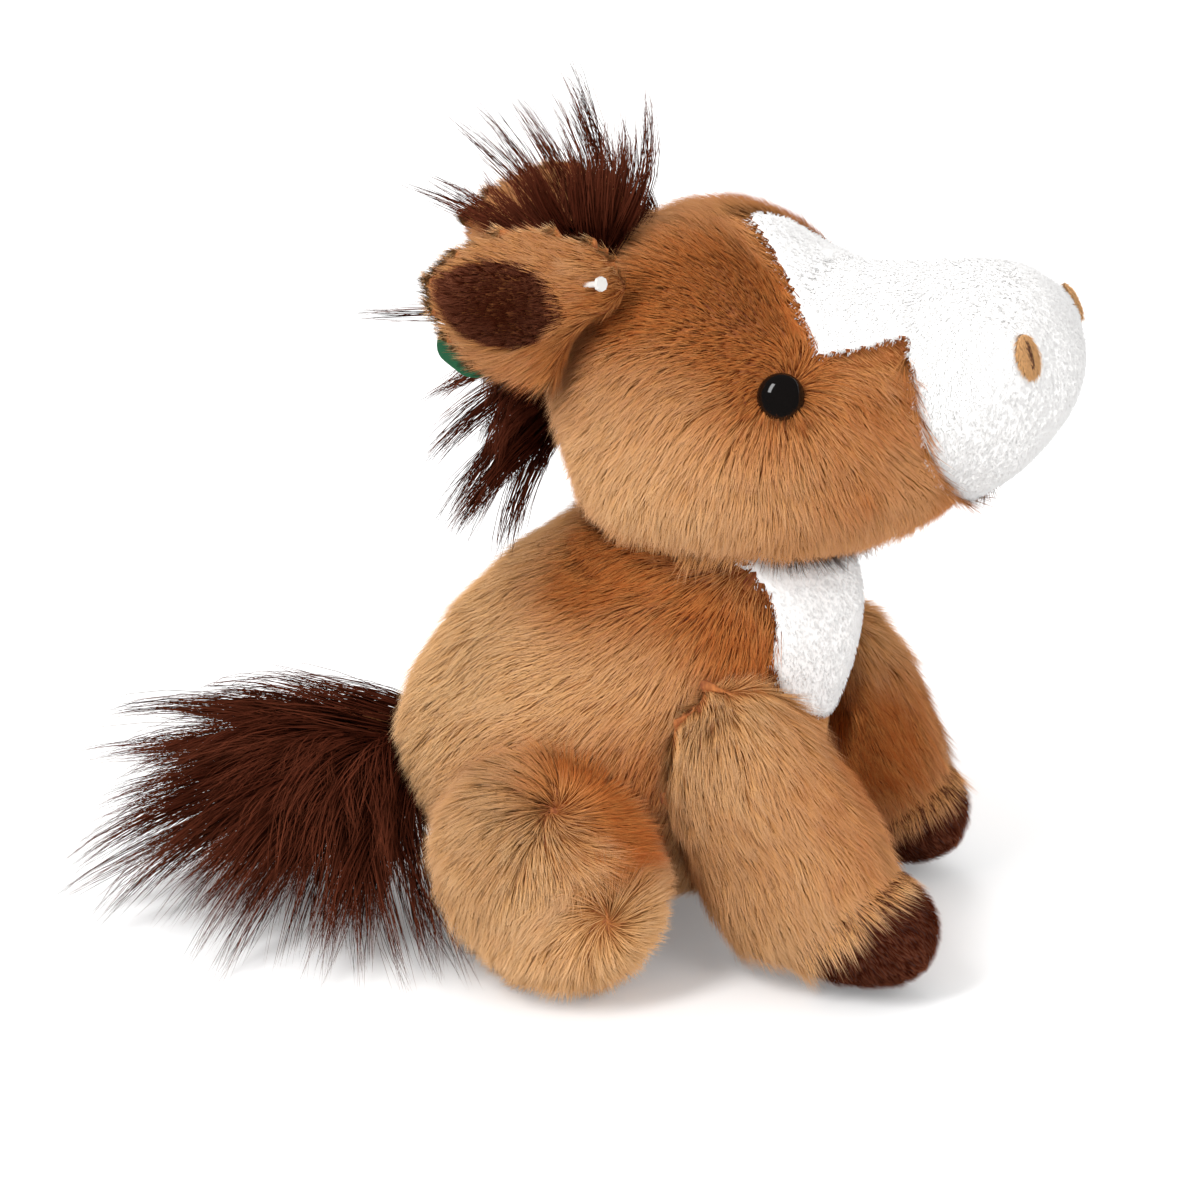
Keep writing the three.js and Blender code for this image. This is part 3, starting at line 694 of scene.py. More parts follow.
def plant(name, paths, outward, width, tone, finish, taper, soft, flat):
    """Sets copies of the strand along paths: an array of strands, stations and places"""
    count, stations, _ = paths.shape
    across, station, triangles = strand_shape(stations)
    paths = paths.copy()
    paths[:, :, 2] = np.maximum(paths[:, :, 2], LOWEST_HAIR)
    along = unit(np.gradient(paths, axis=1))
    side = unit(np.cross(outward[:, None, :], along))
    up = np.cross(along, side)
    shares = np.linspace(0, 1, stations)
    radius = 0.5 * width[:, None] * (1 - shares[None, :] ** 1.5) ** taper
    corners = (
        paths[:, station]
        + side[:, station] * (radius[:, station] * across[None, :, 0])[:, :, None]
        + up[:, station] * (radius[:, station] * across[None, :, 1] * flat)[:, :, None]
    ).reshape(-1, 3)
    faces = (triangles[None] + (np.arange(count) * len(station))[:, None, None]).reshape(-1, 3)
    mesh = bpy.data.meshes.new(name)
    mesh.vertices.add(len(corners))
    mesh.vertices.foreach_set("co", corners.astype(np.float32).ravel())
    mesh.loops.add(len(faces) * 3)
    mesh.loops.foreach_set("vertex_index", faces.astype(np.int32).ravel())
    mesh.polygons.add(len(faces))
    mesh.polygons.foreach_set("loop_start", np.arange(0, len(faces) * 3, 3, dtype=np.int32))
    mesh.polygons.foreach_set("use_smooth", np.ones(len(faces), bool))
    mesh.update(calc_edges=True)
    u = np.clip(tone, 0.01, 0.98)[:, None] + 0.004 * across[None, :, 0]
    v = np.broadcast_to(0.01 + 0.98 * shares[station][None], u.shape)
    pairs = np.stack([u, v], -1).reshape(-1, 2)[faces.ravel()].astype(np.float32).ravel()
    for layer in ("pile", "OFBake"):
        mesh.uv_layers.new(name=layer).data.foreach_set("uv", pairs)
    mesh.uv_layers["pile"].active_render = True
    mesh.materials.append(finish)
    soft = np.repeat(np.broadcast_to(soft, count), len(triangles))[:, None]
    shade_softly(mesh, corners[faces], np.repeat(outward, len(triangles), axis=0), soft)
    return new_object(name, mesh)


def scatter(form, keep, count, random):
    """Random spots on a form: its triangles' corners and the shares of each"""
    form.data.calc_loop_triangles()
    triangles = read_rows(form.data.loop_triangles, "vertices", 3, np.int32)
    a, b, c = (corners_of(form)[triangles[:, i]] for i in range(3))
    areas = 0.5 * np.linalg.norm(np.cross(b - a, c - a), axis=1) * keep[triangles].mean(axis=1)
    picks = random.choice(len(triangles), count, p=areas / areas.sum())
    r, s = random.random((2, count))
    r = np.sqrt(r)
    return triangles[picks], np.stack([1 - r, r * (1 - s), r * s], 1), areas.sum()


class Coat(NamedTuple):
    """A kind of pile: its finish and slot, the cut of its strands and how they gather into tufts"""

    finish: object
    slot: str
    length: float
    width: float
    clump: float = 2.0 * MM
    gather: float = 0.13
    upright: bool = False


def lay_pile(name, nap, coat, count, seed):
    """Covers a form with pile that lies as its nap says, and hands it to the nap's body"""
    random = np.random.default_rng(seed)
    count = int(count * bpy.context.scene.pony_pile.share_laid)
    triangles, shares, area = scatter(nap.form, nap.keep, count, random)

    def spread(field):
        if field.ndim == 1:
            return np.sum(field[triangles] * shares, axis=1)
        return np.einsum("nkd,nk->nd", field[triangles], shares)

    roots = spread(nap.places)
    normals = unit(spread(nap.normals))
    combed, rise = (spread(field) for field in nap.direction())
    centres = max(1, int(area / coat.clump**2))
    nearest = KDTree(centres)
    for i in range(centres):
        nearest.insert(roots[i % count], i)
    nearest.balance()
    tuft = np.array([nearest.find(root)[1] for root in roots])
    turn = random.normal(0, TUFT_TURN, centres)[tuft] + random.normal(0, STRAND_TURN, count)
    swirl = np.sin(roots[:, 0] / (7 * MM) + 2 * np.sin(roots[:, 2] / (9 * MM)))
    turn += SWIRL_TURN * swirl * np.cos(roots[:, 2] / (8 * MM) + roots[:, 1] / (6 * MM))
    sideways = np.cross(normals, combed)
    combed = combed * np.cos(turn)[:, None] + sideways * np.sin(turn)[:, None]
    combed = unit(combed - normals * np.sum(combed * normals, 1, keepdims=True))
    long = coat.length * spread(nap.length) * random.uniform(SHORTEST, LONGEST, count)
    long *= 1 + TUFT_LENGTH * random.normal(0, 1, centres)[tuft]
    lift = spread(nap.lift) + random.normal(0, LIFT_SPREAD, count)
    lift = np.maximum(np.clip(lift, LEAST_LIFT, MOST_LIFT), rise)[:, None]
    first = normals * np.sin(lift) + combed * np.cos(lift)
    low = np.maximum(lift * 0.32, lift - 0.8)
    second = normals * np.sin(low) + combed * np.cos(low)
    times = np.linspace(0, 1, PILE_STATIONS)[None, :, None]
    bend = times**1.6
    steps = times * (1 - 0.55 * bend) * first[:, None] + 0.6 * bend * second[:, None]
    paths = roots[:, None] + long[:, None, None] * steps
    tip_of_tuft = paths[np.minimum(tuft, count - 1)]
    pull = coat.gather * times**1.5
    paths += (tip_of_tuft - paths) * pull * (tuft < count)[:, None, None]
    tone = spread(nap.tone) + TONE_SPREAD * random.normal(0, 1, centres)[tuft]
    tone += TONE_SPREAD * random.normal(0, 1, count)
    widths = coat.width * random.uniform(0.8, 1.2, count)
    if not coat.upright:
        along = unit(paths[:, -1] - paths[:, 0])
        normals = normals - along * np.sum(normals * along, 1, keepdims=True)
        normals = unit(normals + np.array([0, 0, 0.15]))
    soft = np.ones(count) if coat.upright else PILE_SOFT * spread(nap.even)
    shape = (PILE_TAPER, soft, 1.0 if coat.upright else PILE_FLAT)
    piece = plant(name, paths, normals, widths, tone, coat.finish(), *shape)
    hand_over(piece, nap.body, coat.slot)


# Long hair


def lay_locks(name, body, node, locks, seed, width, spread):
    """Long hair in pointed locks. A lock is its root, bend and tip, and its tone."""
    random = np.random.default_rng(seed)
    per_lock = max(4, int(HAIRS_IN_LOCK[name] * bpy.context.scene.pony_pile.share_laid))
    times = np.linspace(0, 1, HAIR_STATIONS)[:, None]
    paths, tones, outward = [], [], []
    middle = np.mean([lock[0] for lock in locks], axis=0)
    for root, bend, tip, tone in locks:
        way = tip - root
        length = np.linalg.norm(way)
        side = unit(np.cross(way / length, [0.1, 0.2, 1.0]))
        up = np.cross(side, way / length)
        axis = (1 - times) ** 2 * root + 2 * times * (1 - times) * bend + times**2 * tip
        angle = random.uniform(0, 2 * math.pi, (per_lock, 1, 1))
        far = spread * np.sqrt(random.random((per_lock, 1, 1)))
        across = np.cos(angle) * side + np.sin(angle) * up
        full = 0.12 + (1 - times) ** 0.7 * (0.55 + 1.3 * times)
        loose = random.normal(0, 0.016, (per_lock, 1, 2)) * length * times**1.5
        wave = 0.35 * MM * np.sin(times * 7 + random.uniform(0, 7, (per_lock, 1, 1))) * times
        reach = random.uniform(0.7, 1.0, (per_lock, 1, 1))
        lock = root + (axis - root) * reach + across * (far * full + wave)
        lock += loose[..., :1] * side + loose[..., 1:] * up
        paths.append(lock)
        tones.append(tone + random.normal(0, 0.1, per_lock))
        outward.append(unit(across[:, 0] * 0.6 + unit(0.5 * (bend + tip) - middle)))
    paths = np.concatenate(paths)
    widths = width * random.uniform(0.75, 1.2, len(paths))
    tones, outward = np.concatenate(tones), np.concatenate(outward)
    shape = (HAIR_TAPER, HAIR_SOFT, HAIR_FLAT)
    piece = plant(f"{name}_hair", paths, outward, widths, tones, long_hair(), *shape)
    hand_over(piece, body, "dark_long_pile", node)


def spots_on(node, count, random):
    """Random places all over a solid"""
    solid = SOLIDS[node]
    keep = np.ones(len(solid.data.vertices))
    triangles, shares, _ = scatter(solid, keep, count, random)
    return np.einsum("nkd,nk->nd", corners_of(solid)[triangles], shares)


# Finishes that several pieces share


def shades(*names):
    """Colours of the settings, as plain tuples"""
    colours = bpy.context.scene.pony_colours
    return [tuple(getattr(colours, name)) for name in names]


def tan_pile():
    rust, root, middle = shades("rust_root", "tan_root", "tan_middle")
    return pile_finish("tan_pile", (rust, root), (root, middle), shades("rust_tip", "tan_tip"), 0.5)


def white_nap():
    root, tip = shades("white_root", "white_tip")
    return pile_finish("white_nap", (root, root), (tip, tip), (tip, tip), 0.4)


def dark_nap():
    root, tip = shades("dark_root", "dark_tip")
    return pile_finish("dark_nap", (root, root), (root, root), (root, tip), 0.5)


def long_hair():
    root, tip = shades("hair_root", "hair_tip")
    return pile_finish("long_hair", (root, root), (root, tip), (tip, tip), 0.75)


def nostril_nap():
    (tan,) = shades("nostril")
    root = tuple(0.6 * c for c in tan)
    return pile_finish("nostril_nap", (root, root), (tan, tan), (tan, tan), 0.4)


def tan_cloth():
    return cloth_finish("tan_cloth", *shades("rust_root", "tan_root"))


def white_cloth():
    return cloth_finish("white_cloth", *shades("white_root", "white_tip"))


def dark_cloth():
    return cloth_finish("dark_cloth", *shades("dark_root", "dark_root"))


def hand_over(piece, body, slot, *nodes, padded=None):
    """Puts a finished piece on its body and in place of its solids"""
    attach(piece, body)
    if nodes:
        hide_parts(*nodes)


def tan_coat(length=None):
    pile = bpy.context.scene.pony_pile
    return Coat(tan_pile, "tan_plush", length or pile.tan_length, pile.tan_width)


def white_coat():
    pile = bpy.context.scene.pony_pile
    return Coat(white_nap, "white_plush", pile.nap_length, pile.nap_width, 0.8 * MM, 0.05, True)


def cover_panels(form, panels, body, rows):
    """Cuts one cover for each panel of a form: its name, finish, slot and the solid it replaces"""
    for index, (name, finish, slot, node) in enumerate(rows):
        cover = cut_panel(name, form, panels, index, finish())
        hand_over(cover, body, slot, node, padded=STUFFED)


# The neighbours that hide a part of the cloth, where it needs no pile
OTHERS = {
    "torso": ["head_skin"]
    + [f"{leg}_{side}_skin" for leg in ("foreleg", "hind_leg") for side in SIDES]
    + [f"fore_hoof_{side}" for side in SIDES],
    "head": ["torso_skin", "chest_bib", "forelock", "ear_right_shell", "ear_left_shell"],
}


# Operators


class PONY_OT_stage(bpy.types.Operator):
    """Sets up the camera, the floor and the light"""

    bl_idname = "pony.stage"
    bl_label = "Stage"

    def execute(self, context):
        settings = context.scene.pony_stage
        turn, rise = settings.camera_turn, settings.camera_rise
        level = math.cos(rise)
        back = Vector((math.sin(turn) * level, -math.cos(turn) * level, math.sin(rise)))
        target = Vector((0, 0, settings.target_height))
        data = bpy.data.cameras.new("camera")
        data.sensor_width = 36
        data.lens = data.sensor_width * settings.camera_distance / settings.view_width
        data.clip_start = 0.01
        camera = new_object("camera", data)
        self.aim(camera, target + back * settings.camera_distance, back)
        context.scene.camera = camera
        self.lay_floor()
        self.light(context, settings)
        return {"FINISHED"}

    def aim(self, item, place, back):
        """Stands a camera or a lamp at a place, with its back turned one way"""
        item.location = place
        item.rotation_mode = "QUATERNION"
        item.rotation_quaternion = back.to_track_quat("Z", "Y")

    def lay_floor(self):
        bm = bmesh.new()
        bmesh.ops.create_grid(bm, x_segments=1, y_segments=1, size=12)
        floor = object_of("floor", bm)
        finish = Finish("white_floor")
        seen = finish.node("ShaderNodeLightPath")
        grain = finish.noise(300 * MM)
        colour = finish.mix((0.86, 0.86, 0.86), (0.88, 0.88, 0.88), grain)
        diffuse = finish.node("ShaderNodeBsdfDiffuse", inputs={0: colour})
        glow = finish.node("ShaderNodeEmission", inputs={0: (1, 1, 1, 1), 1: seen * 0.16})
        both = finish.node("ShaderNodeAddShader", inputs={0: diffuse, 1: glow})
        finish.node("ShaderNodeOutputMaterial", inputs={0: both})
        floor.data.materials.append(finish.owner)
        floor.visible_glossy = False

    def light(self, context, settings):
        """An even sky that reflections see dim and the camera sees white, and three lamps"""
        world = bpy.data.worlds.new("sky")
        context.scene.world = world
        sky = Finish("sky", world)
        mirrored = sky.node("ShaderNodeLightPath", output="Is Glossy Ray")
        seen = sky.node("ShaderNodeLightPath", output="Is Camera Ray")
        even = sky.node("ShaderNodeBackground", inputs={1: settings.sky})
        dim = sky.node("ShaderNodeBackground", inputs={1: 0.15})
        both = sky.node("ShaderNodeMixShader", inputs={0: mirrored, 1: even, 2: dim})
        white = sky.node("ShaderNodeBackground")
        all_three = sky.node("ShaderNodeMixShader", inputs={0: seen, 1: both, 2: white})
        sky.node("ShaderNodeOutputWorld", inputs={0: all_three})
        lamps = (
            ("key", (-0.35, -0.75, 0.85), 0.5, settings.key),
            ("fill", (0.9, -0.6, 0.5), 0.7, settings.key * 0.45),
            ("back", (-0.3, 0.8, 0.7), 0.6, settings.key * 0.5),
        )
        for name, place, size, power in lamps:
            data = bpy.data.lights.new(name, "AREA")
            data.shape = "RECTANGLE"
            data.size, data.size_y = size * 0.6, size * 1.4
            data.energy = power
            lamp = new_object(name, data)
            lamp.visible_glossy = name == "key"
            self.aim(lamp, place, Vector(place) - Vector((0, 0, 0.06)))


class PONY_OT_torso(bpy.types.Operator):
    """Makes the torso's tan cover and the white bib"""

    bl_idname = "pony.torso"
    bl_label = "Torso and bib"

    def execute(self, context):
        pile = context.scene.pony_pile
        skins, inside = ["torso_skin", "chest_bib"], ["torso_filling", "seat_bean_bag"]
        depths = (pile.tan_depth, pile.nap_depth)
        sewn = ["head_skin", "neck_filling"]
        form, panels = sew("torso_cloth", skins, inside, sewn, depths, gap=0.8 * MM)
        rows = (
            ("torso_cover", tan_cloth, "tan_plush", "torso_skin"),
            ("bib_cover", white_cloth, "white_plush", "chest_bib"),
        )
        cover_panels(form, panels, "torso", rows)
        nap = Nap(form, "torso", (-0.8, -0.05, -0.5), mirrored=True)
        nap.stroke((46, -18, 62), 17, (0.1, -0.25, -1)).stroke((20, -38, 22), 20, (-0.2, 0, -1))
        nap.stroke((-35, -10, 60), 25, (-0.4, 0, -1), 1.5)
        # Painted shade: the pile is darker on the chest under the head, at the nape and low on the
        # side; it is paler over the rump.
        nap.patch((48, -25, 72), 10, tone=-0.5).patch((34, -28, 76), 10, tone=-0.45)
        nap.patch((12, -30, 86), 15, tone=-0.8).patch((0, -28, 88), 13, tone=-0.4)
        nap.patch((26, -38, 46), 12, tone=-0.6).patch((-25, -25, 55), 26, tone=0.12)
        # Painted shade beside the hind legs, the head and the bib.
        nap.shade_near([f"hind_leg_{side}_skin" for side in SIDES], 0.25, 5)
        nap.shade_near(["head_skin", "chest_bib"], 0.3)
        nap.tuck_under(OTHERS["torso"], pile.tan_depth + 0.7 * MM, 6).only(panels, 0)
        for number, seed in enumerate((11, 12)):
            lay_pile(f"torso_pile_{number}", nap, tan_coat(), STRANDS["torso"], seed)
        nap = Nap(form, "torso", (0.1, 0, -1), mirrored=True).only(panels, 1)
        nap.lift[:] = 1.15
        lay_pile("bib_nap", nap, white_coat(), STRANDS["bib"], 13)
        bpy.data.objects.remove(form)
        return {"FINISHED"}


class PONY_OT_head(bpy.types.Operator):
    """Makes the head's tan cover, the blaze and the muzzle"""

    bl_idname = "pony.head"
    bl_label = "Head, blaze and muzzle"

    def execute(self, context):
        pile = context.scene.pony_pile
        skins = ["head_skin", "face_blaze", "muzzle_skin"]
        washers = [f"eye_washer_{side}" for side in SIDES]
        sewn = ["torso_skin", "neck_filling", *washers, *(f"nostril_{side}" for side in SIDES)]
        depths = (pile.tan_depth, pile.nap_depth, pile.nap_depth)
        form, panels = sew("head_cloth", skins, ["head_filling"], sewn, depths, 2.8 * MM)
        clear_of(form, ["head_filling", *washers], 1.0 * MM)
        rows = (
            ("head_cover", tan_cloth, "tan_plush", "head_skin"),
            ("blaze_cover", white_cloth, "white_plush", "face_blaze"),
            ("muzzle_cover", white_cloth, "white_plush", "muzzle_skin"),
        )
        cover_panels(form, panels, "head", rows)
        nap = Nap(form, "head", (-0.35, 0, -0.8), mirrored=True)
        nap.whorl((49, -29, 125), 34, 2.5)
        nap.stroke((62, -28, 128), 13, (0.2, 0, -1), 2.5)
        nap.stroke((20, -10, 155), 14, (-0.6, 0, 0.6), 2.0)
        nap.stroke((-8, -30, 120), 18, (-1, 0, -0.6), 2.0)
        nap.tone[:] = 0.42
        nap.patch((30, -24, 143), 16, tone=-0.5, length=-0.45, lift=0.5)
        nap.patch((42, -26, 138), 11, tone=-0.5, length=-0.4, lift=0.3)
        nap.patch((17, -33, 141), 8, tone=-0.45, length=-0.2)
        nap.patch((52, -24, 141), 8, tone=-0.4, length=-0.3)
        # Painted shade: darker round the eye and down the crease from the eye to the corner of the
        # mouth.
        nap.patch((46, -29, 125), 9, tone=-0.45, length=-0.3)
        nap.patch((63, -30, 125), 8, tone=-0.3).patch((63, -28, 108), 9, tone=-0.22)
        nap.patch((22, -36, 104), 24, tone=0.28).patch((75, -24, 112), 12, tone=0.15)
        # Painted shade where the head meets the torso, the ears and the muzzle.
        nap.shade_near(["torso_skin"], 0.2)
        nap.shade_near(["ear_right_shell", "ear_left_shell"], 0.1, 4)
        nap.shade_near(["muzzle_skin"], 0.25, 4)
        nap.tuck_under(OTHERS["head"], pile.tan_depth + 0.7 * MM, 4).only(panels, 0)
        for number, seed in enumerate((21, 22)):
            lay_pile(f"head_pile_{number}", nap, tan_coat(), STRANDS["head"], seed)
        for name, index, seed in (("blaze", 1, 23), ("muzzle", 2, 24)):
            nap = Nap(form, "head", (-0.3, 0, -1), mirrored=True).only(panels, index)
            nap.lift[:] = 1.2
            lay_pile(f"{name}_nap", nap, white_coat(), STRANDS[name], seed)
        bpy.data.objects.remove(form)
        return {"FINISHED"}


class PONY_OT_ears(bpy.types.Operator):
    """Makes the ears with their dark linings"""

    bl_idname = "pony.ears"
    bl_label = "Ears"

    def execute(self, context):
        pile = context.scene.pony_pile
        ways = {"right": (-0.84, -0.45, 0.31), "left": (-0.95, -0.07, 0.31)}
        for side, s in SIDES.items():
            body = f"ear_{side}"
            solids, depths = [f"{body}_shell", f"{body}_lining"], (2.0 * MM, pile.hoof_depth)
            form, panels = sew(f"{body}_cloth", solids, [], ["head_skin"], depths, 2.2 * MM)
            lining = cut_panel(f"{body}_inside", form, panels, 1, dark_cloth(), 0.3 * MM)
            shell = cover_of(form, f"{body}_cover", tan_cloth())
            hand_over(shell, body, "tan_plush", f"{body}_shell", padded=FLAT_STUFFED)
            hand_over(lining, body, "dark_short_plush", f"{body}_lining", padded=FLAT_STUFFED)
            nap = Nap(form, body, ways[side])
            # Paler towards the thin rim: painted light shining through the edge.
            nap.tone = 0.34 + 0.5 * (1 - nap.even)
            nap.length *= 0.65 + 0.35 * nap.even
            nap.hang = 1.0
            nap.patch((-20, -45, 140), 12, tone=0.25)
            # Painted shade where the ear meets the head.
            nap.shade_near(["head_skin"], 0.3, 7)
            if side == "right":
                nap.stroke((3, -42, 123), 11, (0.1, 0, -1), 2.0)
                nap.patch((5, -42, 122), 12, tone=0.15, length=1.2)
            nap.only(panels, 0)
            lay_pile(f"{body}_pile", nap, tan_coat(5 * MM), STRANDS["ear"], 31 + s)
            nap = Nap(form, body, ways[side]).only(panels, 1)
            nap.lift[:] = 0.7
            nap.tone[:] = 1.0
            middle = np.array(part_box(f"{body}_lining")).mean(axis=0) / MM
            nap.patch(middle + (1, 0, 0), 8, tone=-1.0, length=-0.3)
            velour = Coat(dark_nap, "dark_short_plush", 3.4 * MM, 0.2 * MM)
            lay_pile(f"{body}_nap", nap, velour, STRANDS["lining"], 41 + s)
            bpy.data.objects.remove(form)
        return {"FINISHED"}


class PONY_OT_forelegs(bpy.types.Operator):
    """Makes the forelegs and their hooves"""

    bl_idname = "pony.forelegs"
    bl_label = "Forelegs and hooves"

    def execute(self, context):
        pile = context.scene.pony_pile
        for side, s in SIDES.items():
            body = f"foreleg_{side}"
            hoof = f"fore_hoof_{side}"
            skins, inside = [f"{body}_skin", hoof], [f"{body}_filling"]
            sizes = {"voxel": 2.8 * MM, "least": 0.8 * MM, "gap": 1.2 * MM}
            depths = (pile.tan_depth, 2.6 * MM)
            form, panels = sew(f"{body}_cloth", skins, inside, ["torso_skin"], depths, **sizes)
            rows = (
                (f"{body}_cover", tan_cloth, "tan_plush", f"{body}_skin"),
                (f"{hoof}_cover", dark_cloth, "dark_short_plush", hoof),
            )
            cover_panels(form, panels, body, rows)
            nap = Nap(form, body, (0.45, 0.05 * s, -0.85))
            nap.stroke((58, s * 45, 30), 16, (0.8, 0, -0.6), 1.2)
            nap.hang = 0.5
            nap.patch((62, s * 44, 16), 15, length=0.5)
            nap.patch((41 + 4 * s, s * 34, 63), 5, lift=1.0, length=-0.3)
            nap.patch((35 + 4 * s, s * 36, 57), 5, lift=1.0, length=-0.3)
            # Painted shade on the inside of the leg; the leg is also darker down its front edge.
            nap.patch((52, s * 18, 36), 20, tone=-0.9).patch((62, s * 44, 52), 8, tone=-0.4)
            nap.patch((72, s * 42, 37), 8, tone=-0.55)
            # Painted shade beside the hind leg.
            nap.shade_near([f"hind_leg_{side}_skin"], 0.2, 4)
            nap.tuck_under(["torso_skin"], pile.tan_depth + 0.4 * MM, 13).only(panels, 0)
            lay_pile(f"{body}_pile", nap, tan_coat(), STRANDS["foreleg"], 51 + s)
            nap = Nap(form, body, (0.7, 0, -0.6)).only(panels, 1)
            nap.lift[:] = 0.75
            velour = Coat(dark_nap, "dark_short_plush", pile.hoof_length, 0.22 * MM)
            lay_pile(f"{hoof}_nap", nap, velour, STRANDS["hoof"], 61 + s)
            bpy.data.objects.remove(form)
        return {"FINISHED"}


class PONY_OT_hind_legs(bpy.types.Operator):
    """Makes the hind legs, whose pile turns round two whorls"""

    bl_idname = "pony.hind_legs"
    bl_label = "Hind legs"

    def execute(self, context):
        pile = context.scene.pony_pile
        for side, s in SIDES.items():
            body = f"hind_leg_{side}"
            thigh, foot = (10, s * 56, 43), (31, s * 71, 21)
            skins, inside = [f"{body}_skin"], [f"{body}_filling"]
            sizes = {"least": 0.8 * MM, "gap": 1.2 * MM}
            depths = (pile.tan_depth,)
            form, _ = sew(f"{body}_cloth", skins, inside, ["torso_skin"], depths, **sizes)
            cover = cover_of(form, f"{body}_cover", tan_cloth())
            hand_over(cover, body, "tan_plush", f"{body}_skin", padded=STUFFED)
            nap = Nap(form, body, (-0.2, 0.1 * s, -0.3))
            nap.whorl(thigh, 20, 3).whorl(foot, 15, 4)
            nap.patch(thigh, 6, tone=0.1, lift=0.6).patch(foot, 5, tone=0.1, lift=0.6)
            # Painted shade where the thigh meets the torso and the foot.
            nap.patch((15, s * 50, 44), 8, tone=-1.1).patch((22, s * 54, 40), 6, tone=-0.8)
            nap.patch((4, s * 50, 54), 8, tone=-0.4)
            nap.patch((27, s * 62, 31), 6, tone=-0.9).patch((28, s * 52, 36), 9, tone=-0.6)
            # Painted shade beside the torso and the tail.
            nap.shade_near(["torso_skin"], 0.3, 4).shade_near(["tail"], 0.2)
            nap.tuck_under(["torso_skin"], pile.tan_depth + 0.4 * MM, 5)
            lay_pile(f"{body}_pile", nap, tan_coat(), STRANDS["hind_leg"], 71 + s)
            bpy.data.objects.remove(form)
        return {"FINISHED"}


FORELOCK_TIPS = (
    (-7.5, 0, 183), (-20.6, 0, 174), (-29, 2, 171), (-34.6, 4, 165), (-46.4, 6, 150),
    (-38.5, 0, 153.7), (-10, 4, 176), (11, -4, 177), (-8.5, -8, 176), (5, -2, 172), (-15, -6, 170),
)
STRAY_TIP = (-60, -2, 122)
MANE_TIPS = ((-34, -5, 78), (-22, -8, 73), (-36, -5, 90), (-38, -5, 104), (-29, -10, 80), (-31, 6, 84))


class PONY_OT_hair(bpy.types.Operator):
    """Makes the forelock and the mane"""

    bl_idname = "pony.hair"
    bl_label = "Forelock and mane"

    def execute(self, context):
        hair = context.scene.pony_hair
        random = np.random.default_rng(81)
        scalp = tree_of(["head_skin"])
        locks = []
        tips = [mm(*tip) for tip in FORELOCK_TIPS * 2]
        for tip in spots_on("forelock", 400, random):
            if tip[2] > 149 * MM or tip[0] < -14 * MM:
                tips.append(tip)
        for number, tip in enumerate(tips[: LOCKS["forelock"]]):
            x, y = tip[:2] * (0.35, 0.6) + random.normal(0, 4 * MM, 2)
            x, y = np.clip(x, -3 * MM, 12 * MM), np.clip(y - 2 * MM, -16 * MM, 14 * MM)
            root = np.array(scalp.ray_cast(Vector((x, y, 0.3)), Vector((0, 0, -1)))[0])
            root[2] -= 4 * MM
            far = random.uniform(0.4, 0.85) if number > 26 else 1.08
            tip = root + (tip - root) * far
            bend = root * 0.5 + tip * 0.5 + (0.26 * (tip - root)[2], 0, 1 * MM)
            locks.append((root, bend, tip, random.uniform(0.15, 0.8)))
        for share in np.linspace(0, 1, 26):
            root = mm(8 - 9 * share, -16, 145.5) + random.normal(0, 1.2, 3) * MM
            tip = mm(14 - 42 * share, -8, 171 - 14 * share) + random.normal(0, 3, 3) * MM
            bend = root * 0.5 + tip * 0.5 + mm(3 - 6 * share, -6, 0)
            locks.append((root, bend, tip, random.uniform(0.1, 0.6)))
        locks.append((mm(-16, -6, 128), mm(-35, -5, 126), mm(*STRAY_TIP), 0.8))
        lay_locks("forelock", "head", "forelock", locks, 82, hair.width, 2.4 * MM)
        locks = []
        tips = [mm(*tip) + random.normal(0, 2.5, 3) * MM for tip in MANE_TIPS * 4]
        tips += [tip for tip in spots_on("neck_mane", 300, random) if tip[0] < -15 * MM]
        for tip in tips[: LOCKS["mane"]]:
            root = mm(-9, 0, 0) + (0, 0.8 * tip[1], 0.55 * tip[2] + 64 * MM)
            root += random.normal(0, 2.5, 3) * MM
            bend = root * 0.45 + tip * 0.55 + mm(-3, 0, 2)
            locks.append((root, bend, tip, random.uniform(0.15, 0.75)))
        lay_locks("mane", "head", "neck_mane", locks, 83, hair.width, 2.4 * MM)
        return {"FINISHED"}


TAIL_TIPS = (
    (-107, -20, 33), (-88, -10, 37), (-111, -28, 25), (-97, -45, 22), (-100, -58, 12),
    (-103, -58, 5), (-90, -64, 3), (-65, -72, 1), (-56, -76, 1), (-34, -74, 1), (-26, -70, 1),
    (-14, -62, 1), (-5, -61, 1), (-10, -64, 2), (-17, -68, 1),
)


class PONY_OT_tail(bpy.types.Operator):
    """Makes the bushy tail on its stub"""

    bl_idname = "pony.tail"
    bl_label = "Tail"

    def execute(self, context):
        hair = context.scene.pony_hair
        random = np.random.default_rng(91)
        locks = []
        hub = mm(-42, -4, 26)
        tips = [mm(*tip) for tip in TAIL_TIPS * 2]
        tips += [t for t in spots_on("tail", 900, random) if np.linalg.norm(t - hub) > 34 * MM]
        for tip in tips[: LOCKS["tail"]]:
            way = tip - hub
            root = mm(-44, -4, 26) + 0.12 * way + random.normal(0, 3, 3) * MM
            bend = root + 0.5 * way + mm(-4, 0, 5 + 0.06 * abs(way[1]) / MM)
            locks.append((root, bend, root + 1.04 * (tip - root), random.uniform(0.15, 0.75)))
        for turn in np.linspace(0, 2 * math.pi, 18, endpoint=False):
            out = np.array([0, math.cos(turn), math.sin(turn)])
            root = mm(-41, 0, 28) + 5.2 * MM * out
            tip = mm(-74, -12, 31) + 13 * MM * out + random.normal(0, 2, 3) * MM
            locks.append((root, mm(-52, -2, 29) + 10 * MM * out, tip, random.uniform(0.1, 0.5)))
        lay_locks("tail", "tail", "tail", locks, 92, hair.width * 1.1, 3.6 * MM)
        return {"FINISHED"}


